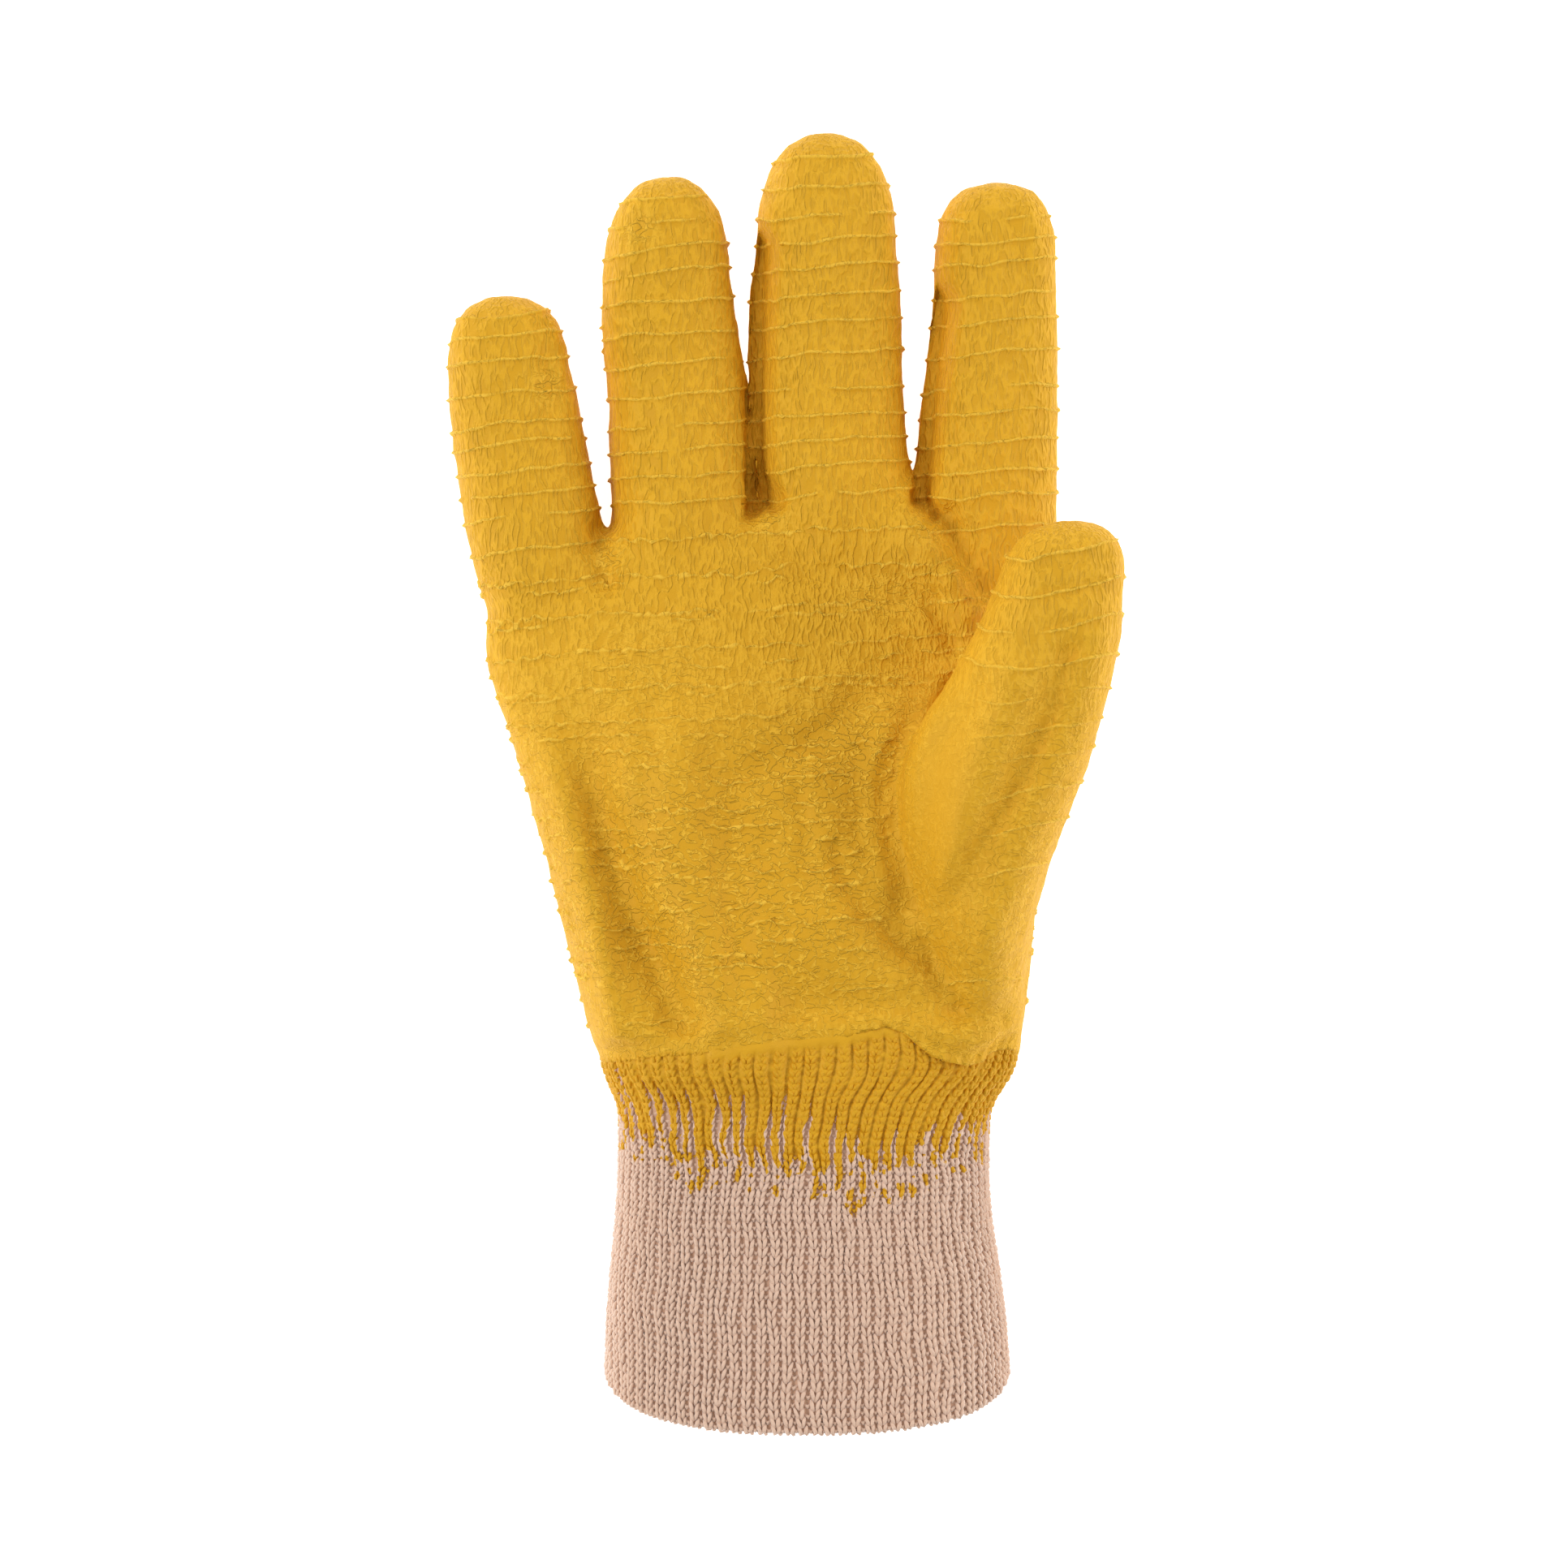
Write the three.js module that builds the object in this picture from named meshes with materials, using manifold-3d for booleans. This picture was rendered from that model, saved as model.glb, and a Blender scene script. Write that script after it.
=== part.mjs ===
// A right-hand knit work glove with a crinkled latex coat and a rib-knit cuff, empty, lying on its
// back with the palm up. Millimetres: +X is the thumb's side, +Y the fingertips, +Z up from the
// surface that it lies on. The origin is on that surface, in the middle of the glove's footprint.

import * as THREE from "three";
import Module from "manifold-3d";

// Driving dimensions
const WRIST = -57; // y of the coated hand's lower edge
const CUFF_TOP = -44; // y where the cuff ends, tucked inside the hand
const COAT_WALL = 2; // jersey liner and its latex coat together
const KNIT_WALL = 2.3; // rib knit, measured from the top of a rib
const RIB_DEPTH = 0.9; // from the top of a rib to the valley beside it
const RIBS = 74; // ribs round the cuff
const DRIP_SKIN = 1.1; // latex alone, where it ran down over the ribs
const GAP = 0.3; // clearance between pieces that touch

// The latex's lower edge rises in one fold on the palm side, above the thumb's end of the cuff.
const EDGE_FOLD = { x: 23, width: 9, rise: 7, reach: 24, fromZ: 22, toZ: 34 };

// How far the latex ran down over the ribs: furthest a little to the thumb's side of the palm.
const DRIPS = { start: 10, longest: 11, x: 13, spread: 24, jitter: 2.6, end: -84, step: 1 };

// Sections of the palm, wrist to knuckles. left, right, low and high are the section's outline,
// and slant turns the section so that its thumb side lies nearer the fingertips.
const PALM = [
  { y: WRIST, left: -37.6, right: 47.2, low: -5, high: 40, slant: 0 },
  { y: -41, left: -42.1, right: 49.4, low: -6, high: 40, slant: 0 },
  { y: -18, left: -47.8, right: 51.7, low: -6, high: 38, slant: 0 },
  { y: 5, left: -54.4, right: 53.5, low: -6, high: 34, slant: 0 },
  { y: 24, left: -60.2, right: 54.8, low: -5, high: 29, slant: 0.03 },
  { y: 38, left: -61.4, right: 54.8, low: -3.5, high: 26.2, slant: 0.12 },
  { y: 48, left: -58.5, right: 53.5, low: -1, high: 24, slant: 0.17 },
];
const PALM_END = { x: -2, y: 58, z: 11, blunt: 2.6 };

// Sections of each digit, root to the start of its rounded tip. roll turns the section about its
// length, so that a strip of its little-finger side shows from above.
const DIGITS = [
  {
    name: "little finger",
    roll: 8,
    square: 2.5,
    rows: [
      { y: 26, left: -57, right: -36, low: 1, high: 20 },
      { y: 40, left: -62.4, right: -35.6, low: -1.5, high: 23.5 },
      { y: 51, left: -65.2, right: -37, low: -1, high: 23 },
      { y: 68, left: -67.8, right: -40.4, low: 0, high: 21.5 },
      { y: 80, left: -68.9, right: -42.7, low: 2, high: 22 },
      { y: 86, left: -69.1, right: -44.2, low: 3.5, high: 22.5 },
    ],
    tip: { x: -57, y: 99.6, z: 13.5, blunt: 2.3 },
  },
  {
    name: "ring finger",
    roll: 16,
    square: 2.9,
    rows: [
      { y: 30, left: -35, right: -6.5, low: 0, high: 23 },
      { y: 44, left: -35.2, right: -5.5, low: -2, high: 25 },
      { y: 57, left: -35.6, right: -6.2, low: -2, high: 24.5 },
      { y: 80, left: -36.6, right: -7.6, low: 0, high: 23 },
      { y: 97, left: -37.9, right: -10.2, low: 3, high: 25 },
      { y: 105, left: -37.3, right: -11.3, low: 5, high: 26 },
    ],
    tip: { x: -23.8, y: 124, z: 17, blunt: 2.2 },
  },
  {
    name: "middle finger",
    roll: 16,
    square: 2.9,
    rows: [
      { y: 31, left: -4, right: 26, low: 0, high: 24 },
      { y: 45, left: -5, right: 26.8, low: -2, high: 26 },
      { y: 57, left: -6.6, right: 26.1, low: -2, high: 25.5 },
      { y: 80, left: -7.5, right: 24.3, low: 0, high: 24.5 },
      { y: 97, left: -7.5, right: 23.7, low: 2.5, high: 26.5 },
      { y: 109, left: -6, right: 23, low: 5, high: 28 },
    ],
    tip: { x: 8.4, y: 132.7, z: 18, blunt: 2.4 },
  },
  {
    name: "index finger",
    roll: 18,
    square: 2.9,
    rows: [
      { y: 28, left: 27, right: 52, low: 0, high: 23 },
      { y: 44, left: 26.5, right: 55, low: -2, high: 25.5 },
      { y: 62, left: 26.1, right: 55.7, low: -1, high: 25 },
      { y: 80, left: 28.2, right: 55.9, low: 1, high: 25 },
      { y: 97, left: 30.2, right: 55.7, low: 3, high: 26 },
      { y: 108, left: 30.5, right: 55.4, low: 5, high: 26.5 },
    ],
    tip: { x: 43.2, y: 122.5, z: 16.5, blunt: 2.5 },
  },
  {
    name: "thumb",
    roll: 10,
    square: 2.5,
    rows: [
      { y: -52, left: 24, right: 43.5, low: 6, high: 29 },
      { y: -44, left: 24.5, right: 47.6, low: 8, high: 36 },
      { y: -31, left: 26, right: 49.8, low: 10, high: 43 },
      { y: -19, left: 24.4, right: 52.6, low: 13, high: 49 },
      { y: -8, left: 23.2, right: 56.7, low: 16, high: 52.5 },
      { y: 2, left: 23.6, right: 60.7, low: 19, high: 55 },
      { y: 11, left: 26.8, right: 63.4, low: 23, high: 57 },
      { y: 20, left: 32.8, right: 65.8, low: 27, high: 58.5 },
      { y: 30, left: 38.4, right: 67.8, low: 31, high: 60 },
      { y: 39, left: 42.4, right: 67.9, low: 34.5, high: 60 },
    ],
    tip: { x: 57.8, y: 52.7, z: 48, blunt: 2.5 },
  },
];
const PALM_SHAPE = { roll: 0, square: 2.7 };

// Facets of the hand's outside and inside. A section's steps are longer where it lies flat.
const OUTSIDE = { palmSides: 50, palmSteps: 16, sides: 18, fingerSteps: 7, thumbSteps: 10, endSteps: 4 };
const INSIDE = { palmSides: 32, palmSteps: 11, sides: 12, fingerSteps: 4, thumbSteps: 6, endSteps: 2 };
const FLAT_SHARE = 0.4; // share of its length that the flat underside counts for
const TIP_STOP = 0.4; // steps by which a rounded end stops short of its tip

// The folds run out where the cuff inside the hand keeps it open.
const FOLDS_END = { from: -50, to: -34 };

// Folds and dents of the palm's upper side: each follows a bent line from a start through a middle
// to an end. width is half its breadth, and a height below zero is a dent.
const FOLDS = [
  { name: "heel dent", x0: -41, y0: 8, x1: -36, y1: -19, x2: -23, y2: -48, width: 5.5, height: -2.8 },
  { name: "outer heel fold", x0: -47, y0: 6, x1: -42, y1: -26, x2: -37, y2: -46, width: 4.5, height: 1.6 },
  { name: "inner heel fold", x0: -27, y0: 4, x1: -24, y1: -22, x2: -14, y2: -48, width: 6.5, height: 2.2 },
  { name: "middle dent", x0: -6, y0: -12, x1: -7, y1: -32, x2: -6, y2: -50, width: 6, height: -1.8 },
  { name: "palm crease", x0: 27, y0: 22, x1: 9, y1: 8, x2: -12, y2: 1, width: 5.5, height: -1.8 },
  { name: "thumb moat", x0: 20, y0: 2, x1: 17, y1: -8, x2: 24, y2: -33, width: 5.5, height: -3.2 },
  { name: "hollow over wrist", x0: 0, y0: -41, x1: 15, y1: -43, x2: 32, y2: -40, width: 5.5, height: -2.2 },
  { name: "web ridge", x0: 26, y0: 52, x1: 36, y1: 40, x2: 39, y2: 24, width: 5.5, height: 3 },
  { name: "index root dent", x0: 34, y0: 56, x1: 42, y1: 44, x2: 44, y2: 32, width: 5, height: -2.5 },
  { name: "knuckle crease", x0: 2, y0: 50, x1: 9, y1: 37, x2: 29, y2: 38, width: 5, height: -1.6 },
  { name: "thumb crease", x0: 59, y0: 25, x1: 46, y1: -6, x2: 30, y2: -32, width: 5.5, height: -2.8 },
];

// Sections of the cuff, top to hem, measured over the ribs. floor is how high its flat underside
// lies, and bow is how much further down its upper side reaches than its edges.
const CUFF = [
  { y: CUFF_TOP, left: -36, right: 45, low: -4, high: 36.4, floor: 3.4, bow: 0 },
  { y: WRIST - GAP, left: -35.2, right: 44.6, low: -4, high: 37, floor: 3.4, bow: 0 },
  { y: -65, left: -33.9, right: 41.9, low: -4, high: 36.6, floor: 1.4, bow: 0 },
  { y: DRIPS.end, left: -34.2, right: 41.6, low: -4, high: 36, floor: 1.4, bow: 1 },
  { y: -106, left: -36.3, right: 44.9, low: -4, high: 37.5, floor: 0, bow: 7 },
  { y: -120, left: -36.8, right: 46, low: -4, high: 38.5, floor: 0, bow: 12 },
];
const UNDER_BOW = 0.35; // share of the bow that the underside has
const CUFF_SHAPE = { roll: 0, square: 2.4 };
const CUFF_INNER_SIDES = 36;

const smooth = THREE.MathUtils.smoothstep;
const signedPower = (value, power) => Math.sign(value) * Math.abs(value) ** power;

const wasm = await Module();
wasm.setup();

// The row at any y, on a smooth curve through the table's rows.
function rowAt(rows, y) {
  const last = rows.length - 1;
  const found = rows.findIndex((row) => row.y > y);
  const i = found < 0 ? last - 1 : Math.max(found - 1, 0);
  const [a, b, c, d] = [rows[Math.max(i - 1, 0)], rows[i], rows[i + 1], rows[Math.min(i + 2, last)]];
  const step = c.y - b.y;
  const t = (y - b.y) / step;
  const made = { ...b, y };
  for (const key of Object.keys(b).filter((name) => name !== "y")) {
    const slopeB = (c[key] - a[key]) / (c.y - a.y);
    const slopeC = (d[key] - b[key]) / (d.y - b.y);
    made[key] =
      (2 * t ** 3 - 3 * t ** 2 + 1) * b[key] +
      (t ** 3 - 2 * t ** 2 + t) * step * slopeB +
      (3 * t ** 2 - 2 * t ** 3) * c[key] +
      (t ** 3 - t ** 2) * step * slopeC;
  }
  return made;
}

// A row of the rounded end that closes a table, u of the way from its last row to the tip.
function endRow(last, tip, u) {
  const shrink = (1 - u ** tip.blunt) ** (1 / tip.blunt);
  const x = THREE.MathUtils.lerp((last.left + last.right) / 2, tip.x, u);
  const z = THREE.MathUtils.lerp((last.low + last.high) / 2, tip.z, u);
  const halfWide = (shrink * (last.right - last.left)) / 2;
  const halfDeep = (shrink * (last.high - last.low)) / 2;
  return {
    ...last,
    y: THREE.MathUtils.lerp(last.y, tip.y, u),
    left: x - halfWide,
    right: x + halfWide,
    low: z - halfDeep,
    high: z + halfDeep,
  };
}

// The outline of one section: a rounded box that fills the row's box less the inset, and flat where
// it would pass below the floor. Its steps are even, or wider on the floor where sparse is below 1.
function section(row, shape, sides, inset = 0, floor = 0, sparse = 1) {
  const roll = THREE.MathUtils.degToRad(shape.roll);
  const fine = 8 * sides; // steps of the exact outline that the section's steps are read from
  const unit = [];
  for (let i = 0; i <= fine; i++) {
    const angle = (2 * Math.PI * i) / fine;
    const u = signedPower(Math.cos(angle), 2 / shape.square);
    const v = signedPower(Math.sin(angle), 2 / shape.square);
    unit.push([u * Math.cos(roll) + v * Math.sin(roll), v * Math.cos(roll) - u * Math.sin(roll)]);
  }
  const reach = Math.max(...unit.map((point) => point[0]));
  const halfWide = (row.right - row.left) / 2 - inset;
  const halfDeep = (row.high - row.low) / 2 - inset;
  const outline = unit.map(([u, v]) => [
    (row.left + row.right) / 2 + (halfWide * u) / reach,
    (row.low + row.high) / 2 + (halfDeep * v) / reach,
  ]);
  const run = [0];
  for (let i = 1; i <= fine; i++) {
    const [[x0, z0], [x1, z1]] = [outline[i - 1], outline[i]];
    const onFloor = z0 < floor && z1 < floor;
    run.push(run[i - 1] + Math.hypot(x1 - x0, z1 - z0) * (onFloor ? sparse : 1));
  }
  const points = [];
  let k = 0;
  for (let i = 0; i < sides; i++) {
    const along = (run[fine] * i) / sides;
    while (run[k + 1] < along) k++;
    const t = (along - run[k]) / (run[k + 1] - run[k]);
    const x = THREE.MathUtils.lerp(outline[k][0], outline[k + 1][0], t);
    const z = THREE.MathUtils.lerp(outline[k][1], outline[k + 1][1], t);
    points.push(new THREE.Vector3(x, row.y + (row.slant ?? 0) * x, Math.max(z, floor)));
  }
  return points;
}

// How far the folds lift the palm's upper side at a point seen from above.
function foldLift(x, y) {
  let lift = 0;
  for (const fold of FOLDS) {
    let nearest = Infinity;
    for (let t = 0; t <= 1; t += 0.1) {
      const [a, b, c] = [(1 - t) ** 2, 2 * t * (1 - t), t ** 2];
      const dx = x - (a * fold.x0 + b * fold.x1 + c * fold.x2);
      const dy = y - (a * fold.y0 + b * fold.y1 + c * fold.y2);
      nearest = Math.min(nearest, Math.hypot(dx, dy));
    }
    lift += fold.height * Math.exp(-((nearest / fold.width) ** 2));
  }
  return lift;
}

// How far the coat's lower edge has risen at a point of the wrist.
const edgeRise = (x, z) =>
  EDGE_FOLD.rise *
  Math.exp(-(((x - EDGE_FOLD.x) / EDGE_FOLD.width) ** 2)) *
  smooth(z, EDGE_FOLD.fromZ, EDGE_FOLD.toZ);

// Bends a plain section of the hand to the folds of its upper side and to the fold of its edge.
function dress(points, row) {
  const middle = (row.low + row.high) / 2;
  for (const point of points) {
    const onTop = smooth(point.z, middle, row.high);
    point.z += foldLift(point.x, point.y) * onTop * smooth(point.y, FOLDS_END.from, FOLDS_END.to);
    const nearEdge = Math.max(0, 1 - (row.y - WRIST) / EDGE_FOLD.reach);
    point.y += edgeRise(point.x, point.z) * nearEdge;
  }
  return points;
}

// A closed solid through rings of points: looped end to start, or else with a fan on each end.
function solidThrough(rings, looped = false) {
  const sides = rings[0].length;
  const points = rings.flat();
  const faces = [];
  for (let r = 0; r < rings.length - (looped ? 0 : 1); r++) {
    const next = (r + 1) % rings.length;
    for (let i = 0; i < sides; i++) {
      const j = (i + 1) % sides;
      const [a, b, c, d] = [r * sides + i, r * sides + j, next * sides + j, next * sides + i];
      faces.push([a, b, c], [a, c, d]);
    }
  }
  if (!looped) {
    for (const [r, turn] of [[0, 1], [rings.length - 1, -1]]) {
      const centre = rings[r].reduce((sum, p) => sum.add(p), new THREE.Vector3());
      points.push(centre.divideScalar(sides));
      for (let i = 0; i < sides; i++) {
        const [a, b] = [r * sides + i, r * sides + ((i + 1) % sides)];
        faces.push(turn > 0 ? [points.length - 1, b, a] : [points.length - 1, a, b]);
      }
    }
  }
  const volume = faces.reduce(
    (sum, [a, b, c]) => sum + points[a].dot(new THREE.Vector3().crossVectors(points[b], points[c])),
    0,
  );
  const outward = volume > 0 ? faces : faces.map(([a, b, c]) => [a, c, b]);
  return new wasm.Manifold(
    new wasm.Mesh({
      numProp: 3,
      vertProperties: new Float32Array(points.flatMap((p) => p.toArray())),
      triVerts: new Uint32Array(outward.flat()),
    }),
  );
}

// A digit or the palm as a solid, shrunk all round by the inset.
function limb(rows, shape, tip, sides, steps, endSteps, inset, overrun = 0) {
  const rings = [];
  const [first, last] = [rows[0], rows.at(-1)];
  const end = { ...tip, y: tip.y - inset };
  for (let i = 0; i <= steps; i++) {
    const row = rowAt(rows, THREE.MathUtils.lerp(first.y, last.y, i / steps));
    rings.push(dress(section(row, shape, sides, inset, inset, FLAT_SHARE), row));
  }
  for (let i = 1; i <= endSteps; i++) {
    const row = endRow(last, end, Math.sin((Math.PI / 2) * (i / (endSteps + TIP_STOP))));
    rings.push(dress(section(row, shape, sides, inset, inset, FLAT_SHARE), row));
  }
  rings[0].forEach((point) => (point.y -= overrun));
  return solidThrough(rings);
}

// The whole hand as one solid: its outside, or the space inside it, open at the wrist.
function hand(inset, facets) {
  const palm = limb(
    PALM, PALM_SHAPE, PALM_END, facets.palmSides, facets.palmSteps, facets.endSteps, inset, 4 * inset,
  );
  return DIGITS.reduce((joined, digit) => {
    const steps = digit.name === "thumb" ? facets.thumbSteps : facets.fingerSteps;
    return joined.add(limb(digit.rows, digit, digit.tip, facets.sides, steps, facets.endSteps, inset));
  }, palm);
}

const coatedHand = () => hand(0, OUTSIDE).subtract(hand(COAT_WALL, INSIDE));

// Moves the middle of a cuff's ring down the arm, its upper side furthest.
function bowed(point, row) {
  const middle = row.high / 2;
  const above = Math.max(0, (point.z - middle) / middle);
  const below = Math.max(0, (middle - point.z) / middle);
  point.y -= row.bow * (above + UNDER_BOW * below);
  return point;
}

// A ring of the cuff's ribs, grown outwards: a rib's top and the valley beside it in turn.
function ribRing(row, grow) {
  const tops = section(row, CUFF_SHAPE, 2 * RIBS, -grow, row.floor - grow);
  const valleys = section(row, CUFF_SHAPE, 2 * RIBS, RIB_DEPTH - grow, row.floor - grow);
  return tops.map((top, i) => bowed(i % 2 ? valleys[i] : top, row));
}

function ribCuff() {
  const outside = solidThrough(CUFF.map((row) => ribRing(row, 0)));
  const [first, last] = [CUFF[0], CUFF.at(-1)];
  const run = [{ ...first, y: first.y + KNIT_WALL }, ...CUFF, { ...last, y: last.y - 2 * last.bow }];
  const inside = solidThrough(
    run.map((row) => section(row, CUFF_SHAPE, CUFF_INNER_SIDES, KNIT_WALL, row.floor + KNIT_WALL)),
  );
  return outside.subtract(inside);
}

// The cuff's row at any y, on straight lines between the table's rows.
function cuffRowAt(y) {
  const i = CUFF.findIndex((row) => row.y <= y);
  const [a, b] = [CUFF[Math.max(i - 1, 0)], CUFF[Math.max(i, 1)]];
  const t = (a.y - y) / (a.y - b.y);
  return Object.fromEntries(Object.keys(a).map((key) => [key, THREE.MathUtils.lerp(a[key], b[key], t)]));
}

// How far below the hand's edge the latex ran down rib i, at x across the glove.
function dripLength(i, x) {
  const reach = DRIPS.longest * Math.exp(-(((x - DRIPS.x) / DRIPS.spread) ** 2));
  const own = Math.sin(2.1 * i) + Math.sin(3.7 * i + 1);
  return DRIPS.start + reach + (i % 2 ? -DRIPS.jitter : 0) + own;
}

// The latex that ran down over the ribs: from the hand's edge to its own ragged lower edge, with a
// ring at each bend of the cuff on the way.
function drippedCoat() {
  const seats = ribRing(cuffRowAt(WRIST - GAP), GAP);
  const edges = seats.map((seat) => WRIST - GAP + edgeRise(seat.x, seat.z));
  const ends = seats.map((seat, i) => Math.max(edges[i] - dripLength(i, seat.x), DRIPS.end));
  const bends = CUFF.slice(1, 3).map((row) => edges.map((edge) => Math.min(edge - DRIPS.step, row.y)));
  const levels = [edges, ...bends, ends];
  const skin = (grow) => levels.map((level) => level.map((y, i) => ribRing(cuffRowAt(y), grow)[i]));
  return solidThrough([...skin(GAP + DRIP_SKIN), ...skin(GAP).reverse()], true);
}

const latex = new THREE.MeshStandardMaterial({ color: 0xe2ab32, roughness: 0.62, metalness: 0 });
const drippedLatex = new THREE.MeshStandardMaterial({ color: 0xd9a229, roughness: 0.55, metalness: 0 });
const cotton = new THREE.MeshStandardMaterial({ color: 0xd9b9a3, roughness: 0.95, metalness: 0 });

function mesh(name, solid, material) {
  const made = solid.getMesh();
  const geometry = new THREE.BufferGeometry();
  geometry.setAttribute("position", new THREE.BufferAttribute(made.vertProperties, 3));
  geometry.setIndex(new THREE.BufferAttribute(made.triVerts, 1));
  geometry.computeVertexNormals();
  const piece = new THREE.Mesh(geometry, material);
  piece.name = name;
  return piece;
}

const glove = new THREE.Group();
glove.add(mesh("coated_hand", coatedHand(), latex));
glove.add(mesh("rib_cuff", ribCuff(), cotton));
glove.add(mesh("dripped_coat", drippedCoat(), drippedLatex));

export default glove;
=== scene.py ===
"""A coated knit work glove lying palm up: crinkled latex over a jersey liner, and a rib-knit cuff."""

import math

import bmesh
import bpy
import numpy as np
from bpy.props import FloatProperty, FloatVectorProperty, IntProperty, PointerProperty
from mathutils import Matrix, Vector
from mathutils.kdtree import KDTree


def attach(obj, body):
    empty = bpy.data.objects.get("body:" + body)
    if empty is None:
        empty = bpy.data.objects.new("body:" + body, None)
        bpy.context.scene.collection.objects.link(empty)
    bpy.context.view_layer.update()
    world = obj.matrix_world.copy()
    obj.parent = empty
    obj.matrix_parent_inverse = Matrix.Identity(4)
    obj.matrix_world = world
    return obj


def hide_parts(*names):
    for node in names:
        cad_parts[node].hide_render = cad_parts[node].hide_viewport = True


bl_info = {
    "name": "Coated knit work glove",
    "version": (1, 0, 0),
    "blender": (4, 5, 0),
    "location": "3D View > Sidebar > Work glove",
    "description": "Dresses the glove's solids in crinkled latex and rib knit",
    "category": "Object",
}

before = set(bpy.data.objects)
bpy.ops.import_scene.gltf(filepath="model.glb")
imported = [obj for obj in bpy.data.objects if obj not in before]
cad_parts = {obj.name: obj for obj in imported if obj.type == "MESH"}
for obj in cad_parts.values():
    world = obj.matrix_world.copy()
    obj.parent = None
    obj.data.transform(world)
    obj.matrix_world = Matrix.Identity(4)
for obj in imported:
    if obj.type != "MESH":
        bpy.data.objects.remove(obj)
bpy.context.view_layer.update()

# Shapes are worked out in millimetres and turned to metres when a mesh is made.
MM = 0.001
PER_METRE = 1000  # object coordinates are metres, so a pattern of n mm has the scale PER_METRE / n
PALM_SIDE = (20.0, 30.0)  # heights between which the sides of hand and cuff pass into the palm side

# The hand's lower edge on the palm side, where the smooth coat ends and the ribs begin: x, y.
EDGE_X = (-38, -30, -15.5, -1.7, 11.7, 17.5, 21, 24.5, 28, 32, 38, 42, 44, 48)
EDGE_Y = (-57.4, -56, -54.6, -52.8, -51.6, -50.2, -49.6, -50.8, -53.4, -56, -57.7, -57.2, -55, -54)
EDGE_BELOW = -57.2  # the same edge on the back of the hand
EDGE_TURN = (14.0, 26.0)  # heights between which the edge passes from the back to the palm side
EDGE_SPARE = 9.0  # length that the shell runs on past its edge until it is cut
EDGE_REACH = 5.0  # from this far above its edge the coat comes down onto the ribs
EDGE_LAID = 0.35  # the lower share of that reach lies on the ribs
EDGE_SLOPE = 0.2  # how fast it climbs away from them again
EDGE_SUNK = 0.3  # height of the very edge over the middle of the yarn: the tops of the ribs show
RIBS_BELOW = 4.0  # the coat is laid on ribs down to this far under its edge
# By the thumb the ribs show through it: how high they stand, from which x on, and up to which height.
RIBS_SHOW = {"rise": 0.5, "from": (10, 20), "reach": (2.0, 5.0)}
FLAP = {"x": 35.5, "width": 6.5, "rise": 1.7, "reach": 3.0}  # where the edge folds over the ribs
# Where the coat goes on smoothly over the ribs: how much higher its edge lies, how high the latex below
# it lies, and the x between which this begins and ends.
EDGE_FLUSH = {"rise": 0.35, "skin": 0.74, "from": (-22, -10), "to": (18, 28)}
TURNED_IN = (1.3, 0.6)  # how far the edge is turned in, and back up under the coat
COAT_LUMPS = ((0.06, 3.2, 41), (0.045, 1.7, 42))  # its uneven thickness: height, size and seed of waves
FLOOR_CLEAR = 0.02  # the coat's lowest points lie this far above the floor
LINER_TOP = -47.0  # y at which the jersey meets the turned-in edge of the coat
RIM_TURN = 0.9  # angle, in radians, between the walls and the rim that joins them at the wrist
LINER_CELL = 2.4  # edges of the jersey longer than this are halved where it is dented
LINER_MOVED = 0.6  # it counts as dented where the two ends of an edge move this much together
LINER_EASE = 0.5  # how far the jersey is drawn in from the solid's inside, clear of the dents
INSET = 1.2  # the shell is this much smaller while it is meshed, so that narrow gaps stay open
SHRINKAGE = 0.3  # what smoothing takes off the outside
FACES_DOWN = -0.25  # cells whose normals point down more than this stay coarse

# A vertex nearer than this to a line that the mesh is cut along counts as lying on the line, so that no
# thin triangle is left beside it: the coat's edge, a raised line, its foot, and the latex on the ribs.
SNAP = {"edge": 0.2, "line": 0.14, "foot": 0.1, "latex": 0.05}

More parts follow.
